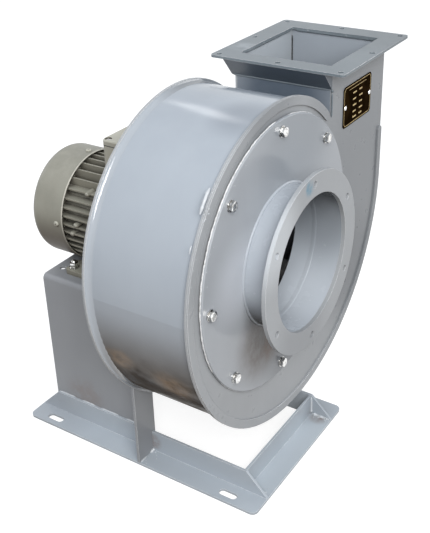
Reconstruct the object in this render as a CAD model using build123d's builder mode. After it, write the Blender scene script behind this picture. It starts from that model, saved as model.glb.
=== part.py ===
# Centrifugal fan with a direct-drive foot motor, in millimetres.
# +X points out of the inlet along the shaft, +Y points to the right when facing the inlet, +Z is up.
# The origin is the middle of the four anchor slots, at floor level.
import os
from math import acos, atan2, cos, degrees, sin, sqrt

from build123d import *

os.makedirs("parts", exist_ok=True)

quarter_turn = 90
full_turn = 360
hex_sides = 6

# Base frame
slot_spacing_x = 340
slot_spacing_y = 254
slot_width = 12
slot_length = 30
rail_length = 440
angle_leg = 40
angle_sheet = 4
slot_edge = 15
base_half = slot_spacing_y / 2 + slot_edge
rail_front_over = 55
rail_front_x = slot_spacing_x / 2 + rail_front_over
rail_rear_x = rail_front_x - rail_length
rail_corner_r = 10

# Shaft line and the two side plates
shaft_z = 355
plate_set_back = 43
front_x = rail_front_x - plate_set_back
housing_width = 165
back_x = front_x - housing_width
plate_sheet = 3
wrap_sheet = 3
plate_lip = 6
back_opening_r = 48

# Scroll outline of the side plates, four arcs that meet at the top, left and bottom
scroll_centre_y = 1
scroll_centre_z = -5
tongue_arc_r = 206
left_arc_r = 228
bottom_arc_r = 283
right_arc_r = 289
neck_left_y = 160
rim_band_width = 13
rim_band_sheet = 2.5
rim_band_start = 45
rim_band_rise = 70

# Outlet
outlet_over_scroll = 2
outlet_rise = scroll_centre_z + left_arc_r + outlet_over_scroll
outlet_flange_sheet = 4
outlet_overhang_x = 29.5
outlet_overhang_y = 25
outlet_ledge = 3
outlet_corner_r = 6
outlet_hole_d = 9
outlet_hole_edge = 10.5
skirt_drop = 30
skirt_sheet = 3
skirt_back_over = 6

# Inlet cover, duct and flange
cover_edge_gap = 28
cover_sheet = 4
cover_edge_r = 1.5
gasket_set_back = 6
gasket_sheet = 2
cover_overlap = 28
cover_bolt_edge = 16.5
cover_bolt_count = 8
cover_bolt_hole_d = 9
duct_r = 100
duct_sheet = 3
inlet_stand_out = 56.5
inlet_face_x = front_x + inlet_stand_out
inlet_flange_r = 132
inlet_flange_sheet = 6
inlet_hole_circle_r = 118
inlet_hole_count = 6
inlet_hole_d = 10
cone_throat_r = 98
cone_reach = 25
cone_sheet = 2
cone_seat_width = 10

# Impeller
impeller_r = 165
impeller_eye_gap = 3
impeller_sheet = 3
impeller_back_gap = 16
outlet_blade_width = 75
shroud_collar = 8
blade_count = 10
blade_sheet = 3
blade_eye_step = 1
blade_shroud_gap = 0.3
blade_tip_inset = 3
blade_bend_r = 130
blade_sweep = 38
cone_eye_overlap = 5

# Hub
hub_r = 26
hub_tail_r = 19
hub_flange_r = 45
hub_flange_thickness = 6
hub_rivet_count = 6
hub_rivet_circle_r = 36
hub_rivet_r = 3
hub_rivet_head_r = 5
hub_rivet_head = 2
shaft_end_r = 12
shaft_end_length = 50
key_width = 8
key_height = 7
key_length = 36
key_depth = 4
hub_washer_r = 18
hub_washer_thickness = 3
hub_back_gap = 6
hub_over_shaft = 2
hub_bolt_reach = 22
seal_plate_r = 62
seal_plate_sheet = 3
seal_plate_gap = 2
seal_screw_circle_r = 55
seal_screw_count = 4
screw_turn = 45

# Motor
motor_back_gap = 5
shoulder_x = back_x - motor_back_gap
shaft_height = 90
foot_hole_from_shoulder = 56
foot_hole_spacing_x = 100
foot_hole_spacing_y = 140
spare_hole_step = 25
foot_hole_d = 10
foot_overhang = 10
foot_outer_y = 82
foot_width = 36
foot_thickness = 8
foot_web = 7
foot_web_gap = 2
foot_corner_r = 6
frame_r = 71
frame_bore_r = 65
frame_front_gap = 12
frame_length = 149
fin_tip_r = 84
fin_pitch = 13
fins_beside_middle = 4
fin_thickness = 2.8
shield_r = 77
shield_thickness = 9
lug_root = 3
spigot_depth = 4
boss_r = 35
boss_proud = 1
boss_inner_depth = 12
shield_lip = 2
shield_lip_r = 18
shield_screw_count = 4
shield_screw_circle_r = 68
lug_width = 14
lug_depth = 10
cowl_r = 88
cowl_sheet = 2
cowl_length = 66
cowl_overlap = 6
cowl_round = 16
cowl_slot_count = 16
cowl_slot_width = 4
cowl_slot_inner_r = 24
cowl_slot_outer_r = 66
cowl_screw_count = 3

# Motor inner works
core_shaft_r = 16
bearing_bore_r = 12.5
bearing_outer_r = 26
bearing_width = 15
bearing_ring = 4
bearing_shield_sheet = 1.2
bearing_gap = 0.3
seal_gap = 0.3
core_length = 66
core_middle_from_front = 74
end_ring_length = 8
end_ring_outer_r = 37
end_ring_inner_r = 24
rotor_core_r = 39.5
air_gap = 0.5
winding_length = 20
winding_inner_r = 44
winding_outer_r = 61
cooling_fan_r = 72
cooling_fan_hub_r = 18
cooling_fan_width = 22
cooling_fan_gap = 4
cooling_fan_sheet = 2.5
cooling_blade_count = 7
rear_shaft_r = 10
rear_shaft_over = 2
seal_r = 20
seal_width = 4

# Terminal box
box_length = 85
box_width = 92
box_seat_from_shaft = 88
box_seat_depth = 32
box_seat_inset = 8
box_top_from_shaft = 136
box_wall = 4
box_corner_r = 8
box_centre_from_front = 44
lid_thickness = 8
lid_gasket_sheet = 1.5
lid_edge_r = 2.5
lid_pocket_gap = 1
lid_pocket_depth = 4
lid_screw_inset = 8
lead_hole_r = 8
lead_hole_y = -25
gland_r = 11
gland_hex = 28
gland_hex_length = 7
gland_length = 20
gland_bore_r = 5
gland_dome_r = 3
terminal_block_length = 50
terminal_block_width = 28
terminal_block_height = 12
stud_r = 2
stud_height = 9
stud_spacing_x = 16
stud_spacing_y = 14

# Pedestal
pedestal_sheet = 4
pedestal_half = base_half - angle_leg
pedestal_length = 200
pedestal_bend_r = 8
pedestal_flange_drop = 30
pedestal_floor_gap = 6

# Fasteners
m8_head = 13
m8_head_height = 5.5
m8_r = 4
m8_washer_r = 8
m8_washer_sheet = 1.6
m8_nut_height = 6.5
m5_head_r = 4.5
m5_head_height = 3
m5_r = 2.5
m5_reach = 12
bolt_over_nut = 2
foot_bolt_over_nut = 5
fit_gap = 0.1

# Name plate on the front of the neck
name_plate_width = 98
name_plate_height = 65
name_plate_sheet = 1
name_plate_from_right = 98
name_plate_below_top = 71
name_plate_rivet_spacing = 86
rivet_r = 3.5
rivet_height = 1.5
rivet_side_slope = 30
rivet_shank_r = 1.6
name_plate_corner = 4


# Places that follow from the sizes above
back_inner_x = back_x + plate_sheet
front_inner_x = front_x - plate_sheet
outlet_top_z = shaft_z + outlet_rise
cover_r = left_arc_r - cover_edge_gap
cover_opening_r = cover_r - cover_overlap
cover_bolt_circle_r = cover_r - cover_bolt_edge
cover_back_x = front_x + gasket_sheet
cover_front_x = cover_back_x + cover_sheet
duct_outer_r = duct_r + duct_sheet
shaft_tip_x = shoulder_x + shaft_end_length
frame_front_x = shoulder_x - frame_front_gap
frame_rear_x = frame_front_x - frame_length
rear_shield_x = frame_rear_x - shield_thickness
boss_front_x = frame_front_x + shield_thickness + boss_proud
boss_rear_x = rear_shield_x - boss_proud
bearing_front_depth = seal_width + shield_lip
front_bearing_x = boss_front_x - bearing_front_depth - bearing_width
rear_bearing_x = boss_rear_x + bearing_front_depth
cowl_front_x = frame_rear_x + cowl_overlap
cowl_back_x = cowl_front_x - cowl_length
pedestal_top_z = shaft_z - shaft_height
pedestal_rear_x = back_x - pedestal_length
foot_top_z = pedestal_top_z + foot_thickness
foot_hole_x = shoulder_x - foot_hole_from_shoulder - foot_hole_spacing_x / 2
core_x = frame_front_x - core_middle_from_front
rotor_disc_x = back_inner_x + impeller_back_gap
blade_x = rotor_disc_x + impeller_sheet
cone_end_x = front_x - cone_reach
eye_x = cone_end_x + cone_eye_overlap - shroud_collar
impeller_eye_r = cone_throat_r + cone_sheet + impeller_eye_gap
shaft_axis = Axis((0, 0, shaft_z), (1, 0, 0))


def across_shaft(x):
    """Plane square to the shaft at x: its own x is +Y and its own y is +Z."""
    return Plane(origin=(x, 0, shaft_z), x_dir=(0, 1, 0), z_dir=(1, 0, 0))


along_shaft = Plane(origin=(0, 0, shaft_z), x_dir=(1, 0, 0), z_dir=(0, -1, 0))


def save(piece, name):
    """Label a finished piece and write it as a STEP file."""
    piece.part.label = name
    export_step(piece.part, f"parts/{name}.step")


def ring_part(x, length, outer_r, inner_r):
    """Plain ring about the shaft line, from x towards +X."""
    with BuildPart() as ring:
        with BuildSketch(across_shaft(x)):
            Circle(outer_r)
            Circle(inner_r, mode=Mode.SUBTRACT)
        extrude(amount=length)
    return ring


# Centres of the four scroll arcs, measured from the shaft line
left_centre = Vector(scroll_centre_y, scroll_centre_z)
tongue_centre = left_centre + Vector(0, left_arc_r - tongue_arc_r)
bottom_centre = left_centre + Vector(bottom_arc_r - left_arc_r, 0)
right_centre = bottom_centre + Vector(0, right_arc_r - bottom_arc_r)
neck_right_y = right_centre.X + right_arc_r
neck_top = outlet_rise - outlet_flange_sheet
name_plate_y = neck_right_y - name_plate_from_right
name_plate_z = neck_top - name_plate_below_top


def scroll_curve(inset, start, rise):
    """Scroll line moved inwards by inset, from its start angle round and up the right neck wall."""
    right_end = right_centre + Vector(right_arc_r - inset, 0)
    with BuildLine() as curve:
        CenterArc(tongue_centre, tongue_arc_r - inset, start, quarter_turn - start)
        CenterArc(left_centre, left_arc_r - inset, quarter_turn, quarter_turn)
        CenterArc(bottom_centre, bottom_arc_r - inset, 2 * quarter_turn, quarter_turn)
        CenterArc(right_centre, right_arc_r - inset, 3 * quarter_turn, quarter_turn)
        Line(right_end, right_end + Vector(0, rise))
    return curve.line


def scroll_face(x, arc_inset, left_inset):
    """Region inside the scroll and neck at x, with its arcs and its left neck wall moved inwards."""
    left_y = neck_left_y + left_inset
    tongue_r = tongue_arc_r - arc_inset
    start = degrees(acos((left_y - tongue_centre.X) / tongue_r))
    tongue_tip = tongue_centre + Vector(tongue_r, 0).rotate(Axis.Z, start)
    right_y = neck_right_y - arc_inset
    with BuildSketch(across_shaft(x)) as region:
        with BuildLine():
            add(scroll_curve(arc_inset, start, neck_top - right_centre.Y))
            Polyline((right_y, neck_top), (left_y, neck_top), tongue_tip)
        make_face()
    return region.sketch


name_plate_rivet_spots = [(name_plate_y + side * name_plate_rivet_spacing / 2, name_plate_z)
                          for side in (-1, 1)]

# Side plates
with BuildPart() as front_side_plate:
    extrude(scroll_face(front_inner_x, 0, 0), amount=plate_sheet)
    with BuildSketch(across_shaft(front_inner_x)):
        Circle(cover_opening_r)
        with PolarLocations(cover_bolt_circle_r, cover_bolt_count):
            Circle(cover_bolt_hole_d / 2)
        with Locations(*name_plate_rivet_spots):
            Circle(rivet_shank_r + fit_gap)
    extrude(amount=plate_sheet, mode=Mode.SUBTRACT)
save(front_side_plate, "front_side_plate")

with BuildPart() as back_side_plate:
    extrude(scroll_face(back_x, 0, 0), amount=plate_sheet)
    with BuildSketch(across_shaft(back_x)):
        Circle(back_opening_r)
        with PolarLocations(seal_screw_circle_r, seal_screw_count, start_angle=screw_turn):
            Circle(m5_r + fit_gap)
    extrude(amount=plate_sheet, mode=Mode.SUBTRACT)
save(back_side_plate, "back_side_plate")

# Scroll wrap: one bent strip from the top of the left neck wall, round the scroll, to the outlet
with BuildPart() as scroll_wrap:
    wrap_width = front_inner_x - back_inner_x
    extrude(scroll_face(back_inner_x, plate_lip, 0), amount=wrap_width)
    extrude(scroll_face(back_inner_x, plate_lip + wrap_sheet, wrap_sheet), amount=wrap_width,
            mode=Mode.SUBTRACT)
save(scroll_wrap, "scroll_wrap")

# Raised band along the edge of the front plate, with round ends
with BuildPart() as front_rim_band:
    with BuildSketch(across_shaft(front_x)):
        band_half = rim_band_width / 2
        tip_in = tongue_centre + Vector(tongue_arc_r - rim_band_width, 0).rotate(Axis.Z, rim_band_start)
        tip_out = tongue_centre + Vector(tongue_arc_r, 0).rotate(Axis.Z, rim_band_start)
        end_out = Vector(neck_right_y, right_centre.Y + rim_band_rise)
        end_in = end_out - Vector(rim_band_width, 0)
        tip_round = Vector(0, -band_half).rotate(Axis.Z, rim_band_start)
        with BuildLine():
            add(scroll_curve(0, rim_band_start, rim_band_rise))
            add(scroll_curve(rim_band_width, rim_band_start, rim_band_rise))
            ThreePointArc(tip_in, (tip_in + tip_out) / 2 + tip_round, tip_out)
            ThreePointArc(end_in, (end_in + end_out) / 2 + Vector(0, band_half), end_out)
        make_face()
    extrude(amount=rim_band_sheet)
save(front_rim_band, "front_rim_band")

# Outlet flange and the skirt that braces it on the tongue side
neck_middle_x = (back_x + front_x) / 2
neck_middle_y = (neck_left_y + neck_right_y) / 2
neck_width_y = neck_right_y - neck_left_y
outlet_size_x = housing_width + 2 * outlet_overhang_x
outlet_size_y = neck_width_y + 2 * outlet_overhang_y
opening_x = housing_width - 2 * (plate_sheet + outlet_ledge)
opening_left_y = neck_left_y + wrap_sheet + outlet_ledge
opening_right_y = neck_right_y - plate_lip - wrap_sheet - outlet_ledge
outlet_hole_x = outlet_size_x / 2 - outlet_hole_edge
outlet_hole_y = outlet_size_y / 2 - outlet_hole_edge
outlet_underside_z = outlet_top_z - outlet_flange_sheet

with BuildPart() as outlet_flange:
    with BuildSketch(Plane.XY.offset(outlet_underside_z)):
        with Locations((neck_middle_x, neck_middle_y)):
            RectangleRounded(outlet_size_x, outlet_size_y, outlet_corner_r)
        with Locations((neck_middle_x, (opening_left_y + opening_right_y) / 2)):
            Rectangle(opening_x, opening_right_y - opening_left_y, mode=Mode.SUBTRACT)
        with Locations((neck_middle_x, neck_middle_y)):
            with GridLocations(outlet_hole_x, outlet_hole_y, 3, 3):
                Circle(outlet_hole_d / 2, mode=Mode.SUBTRACT)
    extrude(amount=outlet_flange_sheet)
save(outlet_flange, "outlet_flange")

skirt_rear_x = back_x - skirt_back_over
skirt_top_y = neck_left_y - outlet_overhang_y
with BuildPart() as outlet_skirt:
    with BuildSketch(across_shaft(skirt_rear_x)):
        with BuildLine():
            Polyline((skirt_top_y, neck_top), (neck_left_y, neck_top), (neck_left_y, neck_top - skirt_drop),
                     close=True)
        make_face()
    extrude(amount=front_x - skirt_rear_x)
    with BuildSketch(across_shaft(skirt_rear_x + skirt_sheet)):
        with BuildLine():
            slope = atan2(skirt_drop, outlet_overhang_y)
            inner_y = skirt_top_y + skirt_sheet / sin(slope)
            inner_z = neck_top - skirt_drop + skirt_sheet / cos(slope)
            Polyline((inner_y, neck_top), (neck_left_y, neck_top), (neck_left_y, inner_z), close=True)
        make_face()
    extrude(amount=front_x - skirt_rear_x - 2 * skirt_sheet, mode=Mode.SUBTRACT)
save(outlet_skirt, "outlet_skirt")

# Inlet cover, its gasket, the duct, the flange and the cone that feeds the impeller
with BuildPart() as cover_gasket:
    with BuildSketch(across_shaft(front_x)):
        Circle(cover_r - gasket_set_back)
        Circle(cover_opening_r, mode=Mode.SUBTRACT)
        with PolarLocations(cover_bolt_circle_r, cover_bolt_count):
            Circle(cover_bolt_hole_d / 2, mode=Mode.SUBTRACT)
    extrude(amount=gasket_sheet)
save(cover_gasket, "cover_gasket")

with BuildPart() as inlet_cover_plate:
    with BuildSketch(across_shaft(cover_back_x)):
        Circle(cover_r)
        Circle(duct_r, mode=Mode.SUBTRACT)
        with PolarLocations(cover_bolt_circle_r, cover_bolt_count):
            Circle(cover_bolt_hole_d / 2, mode=Mode.SUBTRACT)
    extrude(amount=cover_sheet)
    fillet(inlet_cover_plate.edges().group_by(Axis.X)[-1].sort_by(SortBy.LENGTH)[-1], cover_edge_r)
save(inlet_cover_plate, "inlet_cover_plate")

duct_front_x = inlet_face_x - inlet_flange_sheet
save(ring_part(cover_front_x, duct_front_x - cover_front_x, duct_outer_r, duct_r), "inlet_duct")

with BuildPart() as inlet_flange:
    with BuildSketch(across_shaft(duct_front_x)):
        Circle(inlet_flange_r)
        Circle(duct_r, mode=Mode.SUBTRACT)
        with PolarLocations(inlet_hole_circle_r, inlet_hole_count, start_angle=quarter_turn):
            Circle(inlet_hole_d / 2, mode=Mode.SUBTRACT)
    extrude(amount=inlet_flange_sheet)
save(inlet_flange, "inlet_flange")

with BuildPart() as inlet_cone:
    with BuildSketch(along_shaft):
        with BuildLine():
            mouth_r = duct_r + cone_seat_width
            mouth_x = cover_back_x - cone_sheet
            Polyline((cover_back_x, duct_r), (cover_back_x, mouth_r), (mouth_x, mouth_r),
                     (mouth_x, duct_r + cone_sheet), (cone_end_x, cone_throat_r + cone_sheet),
                     (cone_end_x, cone_throat_r), close=True)
        make_face()
    revolve(axis=shaft_axis)
save(inlet_cone, "inlet_cone")

# Name plate, left blank, with its two rivets
with BuildPart() as name_plate:
    with BuildSketch(across_shaft(front_x)) as plate_outline:
        with Locations((name_plate_y, name_plate_z)):
            Rectangle(name_plate_width, name_plate_height)
        chamfer(plate_outline.vertices(), name_plate_corner)
        with Locations(*name_plate_rivet_spots):
            Circle(rivet_shank_r + fit_gap, mode=Mode.SUBTRACT)
    extrude(amount=name_plate_sheet)
save(name_plate, "name_plate")

with BuildPart() as name_plate_rivets:
    with BuildSketch(across_shaft(front_x + name_plate_sheet)):
        with Locations(*name_plate_rivet_spots):
            Circle(rivet_r)
    extrude(amount=rivet_height, taper=rivet_side_slope)
    with BuildSketch(across_shaft(front_inner_x)):
        with Locations(*name_plate_rivet_spots):
            Circle(rivet_shank_r)
    extrude(amount=plate_sheet + name_plate_sheet)
save(name_plate_rivets, "name_plate_rivets")


def polar_spots(radius, count, start=0):
    """Points on a circle, evenly spaced from the start angle."""
    return [Vector(radius, 0).rotate(Axis.Z, start + full_turn * turn / count) for turn in range(count)]


def hex_bolts(seat, spots, head, head_height, shank_r, reach):
    """Hex bolts: heads stand on the seat plane and shanks reach below it."""
    with BuildPart() as group:
        with BuildSketch(seat):
            with Locations(*spots):
                RegularPolygon(head / 2, hex_sides, major_radius=False)
        extrude(amount=head_height)
        with BuildSketch(seat):
            with Locations(*spots):
                Circle(shank_r)
        extrude(amount=-reach)
    return group


def round_screws(seat, spots, head_r, head_height, shank_r, reach):
    """Round-head screws: heads stand on the seat plane and shanks reach below it."""
    with BuildPart() as group:
        with BuildSketch(seat):
            with Locations(*spots):
                Circle(head_r)
        extrude(amount=head_height)
        with BuildSketch(seat):
            with Locations(*spots):
                Circle(shank_r)
        extrude(amount=-reach)
    return group


def washers(seat, spots, outer_r, hole_r, sheet):
    """Flat washers that lie on the seat plane."""
    with BuildPart() as group:
        with BuildSketch(seat):
            with Locations(*spots):
                Circle(outer_r)
                Circle(hole_r, mode=Mode.SUBTRACT)
        extrude(amount=sheet)
    return group


def nuts(seat, spots, width, hole_r, height):
    """Hex nuts that hang below the seat plane."""
    with BuildPart() as group:
        with BuildSketch(seat):
            with Locations(*spots):
                RegularPolygon(width / 2, hex_sides, major_radius=False)
                Circle(hole_r, mode=Mode.SUBTRACT)
        extrude(amount=-height)
    return group


# Cover bolts with their washers outside and nuts behind the front plate
cover_spots = polar_spots(cover_bolt_circle_r, cover_bolt_count)
cover_bolt_seat_x = cover_front_x + m8_washer_sheet
cover_bolt_reach = cover_bolt_seat_x - front_inner_x + m8_nut_height + bolt_over_nut
save(hex_bolts(across_shaft(cover_bolt_seat_x), cover_spots, m8_head, m8_head_height, m8_r,
               cover_bolt_reach), "cover_bolts")
save(washers(across_shaft(cover_front_x), cover_spots, m8_washer_r, m8_r + fit_gap, m8_washer_sheet),
     "cover_washers")
save(nuts(across_shaft(front_inner_x), cover_spots, m8_head, m8_r + fit_gap, m8_nut_height), "cover_nuts")

# Impeller: back plate, conical shroud and curved blades between them
rim_x = blade_x + outlet_blade_width
with BuildPart() as impeller_back_plate:
    with BuildSketch(across_shaft(rotor_disc_x)):
        Circle(impeller_r)
        Circle(hub_r + fit_gap, mode=Mode.SUBTRACT)
        with PolarLocations(hub_rivet_circle_r, hub_rivet_count):
            Circle(hub_rivet_r + fit_gap, mode=Mode.SUBTRACT)
    extrude(amount=impeller_sheet)
save(impeller_back_plate, "impeller_back_plate")

with BuildPart() as impeller_shroud:
    with BuildSketch(along_shaft):
        with BuildLine():
            collar_x = eye_x + shroud_collar
            collar_r = impeller_eye_r + impeller_sheet
            Polyline((collar_x, impeller_eye_r), (eye_x, impeller_eye_r), (rim_x, impeller_r),
                     (rim_x + impeller_sheet, impeller_r), (eye_x + impeller_sheet, collar_r),
                     (collar_x, collar_r), close=True)
        make_face()
    revolve(axis=shaft_axis)
save(impeller_shroud, "impeller_shroud")


def blade_outline(turn):
    """One backward-curved blade, seen along the shaft: its tip trails the turning."""
    tip_r = impeller_r - blade_tip_inset
    root = Vector(impeller_eye_r + blade_eye_step, 0).rotate(Axis.Z, turn)
    tip = Vector(tip_r, 0).rotate(Axis.Z, turn - blade_sweep)
    chord = tip - root
    to_centre = Vector(chord.Y, -chord.X).normalized() * sqrt(blade_bend_r ** 2 - (chord.length / 2) ** 2)
    centre = (root + tip) / 2 - to_centre
    start = degrees(atan2((tip - centre).Y, (tip - centre).X))
    bend = (root - centre).get_signed_angle(tip - centre)
    with BuildSketch() as outline:
        with BuildLine():
            outer = CenterArc(centre, blade_bend_r + blade_sheet / 2, start, bend)
            inner = CenterArc(centre, blade_bend_r - blade_sheet / 2, start, bend)
            Line(outer @ 0, inner @ 0)
            Line(outer @ 1, inner @ 1)
        make_face()
    return outline.sketch


with BuildPart() as impeller_blades:
    with BuildSketch(across_shaft(blade_x)):
        for blade in range(blade_count):
            add(blade_outline(full_turn * blade / blade_count))
    extrude(amount=eye_x - blade_x)
    with BuildSketch(along_shaft):
        with BuildLine():
            under_eye_x = eye_x - blade_shroud_gap
            under_rim_x = rim_x - blade_shroud_gap
            Polyline((blade_x, 0), (under_eye_x, 0), (under_eye_x, impeller_eye_r),
                     (under_rim_x, impeller_r), (blade_x, impeller_r), close=True)
        make_face()
    revolve(axis=shaft_axis, mode=Mode.INTERSECT)
save(impeller_blades, "impeller_blades")

# Hub, held on the shaft by a key, a washer and a bolt
hub_front_x = shaft_tip_x + hub_over_shaft
hub_rear_x = back_inner_x + hub_back_gap
hub_flange_front_x = blade_x + hub_flange_thickness
key_x = shoulder_x + key_width
key_base = shaft_end_r - key_depth
with BuildPart() as impeller_hub:
    with BuildSketch(along_shaft):
        with BuildLine():
            Polyline((shoulder_x, shaft_end_r), (shoulder_x, hub_tail_r), (hub_rear_x, hub_tail_r),
                     (hub_rear_x, hub_r), (blade_x, hub_r), (blade_x, hub_flange_r),
                     (hub_flange_front_x, hub_flange_r), (hub_flange_front_x, hub_r), (hub_front_x, hub_r),
                     (hub_front_x, shaft_end_r), close=True)
        make_face()
    revolve(axis=shaft_axis)
    with BuildSketch(across_shaft(shoulder_x)):
        with Locations((0, shaft_end_r)):
            Rectangle(key_width + 2 * fit_gap, 2 * (key_height - key_depth + fit_gap))
    extrude(amount=hub_front_x - shoulder_x, mode=Mode.SUBTRACT)
    with BuildSketch(across_shaft(blade_x)):
        with PolarLocations(hub_rivet_circle_r, hub_rivet_count):
            Circle(hub_rivet_r + fit_gap)
    extrude(amount=hub_flange_thickness, mode=Mode.SUBTRACT)
save(impeller_hub, "impeller_hub")

with BuildPart() as hub_key:
    with BuildSketch(across_shaft(key_x)):
        with Locations((0, key_base + key_height / 2)):
            Rectangle(key_width, key_height)
    extrude(amount=key_length)
save(hub_key, "hub_key")

rivet_spots = polar_spots(hub_rivet_circle_r, hub_rivet_count)
with BuildPart() as hub_rivets:
    with BuildSketch(across_shaft(rotor_disc_x)):
        with Locations(*rivet_spots):
            Circle(hub_rivet_r)
    extrude(amount=hub_flange_front_x - rotor_disc_x)
    for head_x in (rotor_disc_x - hub_rivet_head, hub_flange_front_x):
        with BuildSketch(across_shaft(head_x)):
            with Locations(*rivet_spots):
                Circle(hub_rivet_head_r)
        extrude(amount=hub_rivet_head)
save(hub_rivets, "hub_rivets")

middle = [Vector(0, 0)]
save(washers(across_shaft(hub_front_x), middle, hub_washer_r, m8_r + fit_gap, hub_washer_thickness),
     "hub_washer")
hub_bolt_seat_x = hub_front_x + hub_washer_thickness
save(hex_bolts(across_shaft(hub_bolt_seat_x), middle, m8_head, m8_head_height, m8_r, hub_bolt_reach),
     "hub_bolt")

# Plate that closes the back opening round the hub, with its screws
with BuildPart() as shaft_seal_plate:
    with BuildSketch(across_shaft(back_x - seal_plate_sheet)):
        Circle(seal_plate_r)
        Circle(hub_tail_r + seal_plate_gap, mode=Mode.SUBTRACT)
        with PolarLocations(seal_screw_circle_r, seal_screw_count, start_angle=screw_turn):
            Circle(m5_r + fit_gap, mode=Mode.SUBTRACT)
    extrude(amount=seal_plate_sheet)
save(shaft_seal_plate, "shaft_seal_plate")

seal_seat = Plane(origin=(back_x - seal_plate_sheet, 0, shaft_z), x_dir=(0, 1, 0), z_dir=(-1, 0, 0))
seal_screw_spots = polar_spots(seal_screw_circle_r, seal_screw_count, screw_turn)
save(round_screws(seal_seat, seal_screw_spots, m5_head_r, m5_head_height, m5_r,
                  seal_plate_sheet + plate_sheet), "seal_plate_screws")

# Motor shaft, from the cooling fan to the impeller
fan_front_x = boss_rear_x - cooling_fan_gap
fan_rear_x = fan_front_x - cooling_fan_width
core_shaft_front_x = front_bearing_x
core_shaft_rear_x = rear_bearing_x + bearing_width
with BuildPart() as motor_shaft:
    with BuildSketch(along_shaft):
        with BuildLine():
            Polyline((fan_rear_x - rear_shaft_over, 0), (fan_rear_x - rear_shaft_over, rear_shaft_r),
                     (rear_bearing_x, rear_shaft_r), (rear_bearing_x, bearing_bore_r),
                     (core_shaft_rear_x, bearing_bore_r), (core_shaft_rear_x, core_shaft_r),
                     (core_shaft_front_x, core_shaft_r), (core_shaft_front_x, bearing_bore_r),
                     (shoulder_x, bearing_bore_r), (shoulder_x, shaft_end_r), (shaft_tip_x, shaft_end_r),
                     (shaft_tip_x, 0), close=True)
        make_face()
    revolve(axis=shaft_axis)
    with BuildSketch(across_shaft(key_x)):
        with Locations((0, key_base + key_height / 2)):
            Rectangle(key_width, key_height)
    extrude(amount=key_length, mode=Mode.SUBTRACT)
    with BuildSketch(across_shaft(shaft_tip_x)):
        Circle(m8_r + fit_gap)
    extrude(amount=-hub_bolt_reach, mode=Mode.SUBTRACT)
save(motor_shaft, "motor_shaft")

# Rotor core with its end rings, pressed on the shaft
core_rear_x = core_x - core_length / 2
core_front_x = core_x + core_length / 2
with BuildPart() as rotor_core:
    with BuildSketch(along_shaft):
        with BuildLine():
            Polyline((core_rear_x, core_shaft_r + fit_gap), (core_rear_x, end_ring_inner_r),
                     (core_rear_x - end_ring_length, end_ring_inner_r),
                     (core_rear_x - end_ring_length, end_ring_outer_r), (core_rear_x, end_ring_outer_r),
                     (core_rear_x, rotor_core_r), (core_front_x, rotor_core_r),
                     (core_front_x, end_ring_outer_r), (core_front_x + end_ring_length, end_ring_outer_r),
                     (core_front_x + end_ring_length, end_ring_inner_r), (core_front_x, end_ring_inner_r),
                     (core_front_x, core_shaft_r + fit_gap), close=True)
        make_face()
    revolve(axis=shaft_axis)
save(rotor_core, "rotor_core")

# Stator core and its two end windings
stator_bore_r = rotor_core_r + air_gap
save(ring_part(core_rear_x, core_length, frame_bore_r - fit_gap, stator_bore_r), "stator_core")
with BuildPart() as stator_windings:
    with BuildSketch(along_shaft):
        with Locations((core_rear_x - winding_length / 2, (winding_inner_r + winding_outer_r) / 2),
                       (core_front_x + winding_length / 2, (winding_inner_r + winding_outer_r) / 2)):
            Rectangle(winding_length, winding_outer_r - winding_inner_r)
    revolve(axis=shaft_axis)
save(stator_windings, "stator_windings")

# Bearings: each outer ring carries the two thin shields that close it
for name, bearing_x in (("drive_bearing", front_bearing_x), ("rear_bearing", rear_bearing_x)):
    ring_outer_r = bearing_outer_r - fit_gap
    inner_ring_r = bearing_bore_r + bearing_ring
    bearing_end_x = bearing_x + bearing_width
    with BuildPart() as outer_ring:
        with BuildSketch(along_shaft):
            with BuildLine():
                Polyline((bearing_x, ring_outer_r), (bearing_end_x, ring_outer_r),
                         (bearing_end_x, inner_ring_r + bearing_gap),
                         (bearing_end_x - bearing_shield_sheet, inner_ring_r + bearing_gap),
                         (bearing_end_x - bearing_shield_sheet, bearing_outer_r - bearing_ring),
                         (bearing_x + bearing_shield_sheet, bearing_outer_r - bearing_ring),
                         (bearing_x + bearing_shield_sheet, inner_ring_r + bearing_gap),
                         (bearing_x, inner_ring_r + bearing_gap), close=True)
            make_face()
        revolve(axis=shaft_axis)
    save(outer_ring, f"{name}_outer_ring")
    save(ring_part(bearing_x, bearing_width, inner_ring_r, bearing_bore_r), f"{name}_inner_ring")


def end_shield(face_x, out):
    """End shield with its bearing boss. face_x is the frame end, out is +1 or -1 away from the frame."""
    boss_top = shield_thickness + boss_proud
    pocket = boss_top - bearing_front_depth
    seal_floor = boss_top - seal_width
    steps = [(-spigot_depth, frame_bore_r - fit_gap), (0, frame_bore_r - fit_gap), (0, shield_r),
             (shield_thickness, shield_r), (shield_thickness, boss_r), (boss_top, boss_r),
             (boss_top, seal_r), (seal_floor, seal_r), (seal_floor, shield_lip_r), (pocket, shield_lip_r),
             (pocket, bearing_outer_r), (-boss_inner_depth, bearing_outer_r), (-boss_inner_depth, boss_r),
             (-spigot_depth, boss_r)]
    with BuildPart() as shield:
        with BuildSketch(along_shaft):
            with BuildLine():
                Polyline(*[(face_x + out * depth, radius) for depth, radius in steps], close=True)
            make_face()
        revolve(axis=shaft_axis)
        with BuildSketch(across_shaft(face_x)):
            with PolarLocations(shield_screw_circle_r, shield_screw_count, start_angle=screw_turn):
                Circle(m5_r + fit_gap)
        extrude(amount=out * shield_thickness, mode=Mode.SUBTRACT)
    return shield


save(end_shield(frame_front_x, 1), "drive_end_shield")

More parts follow.
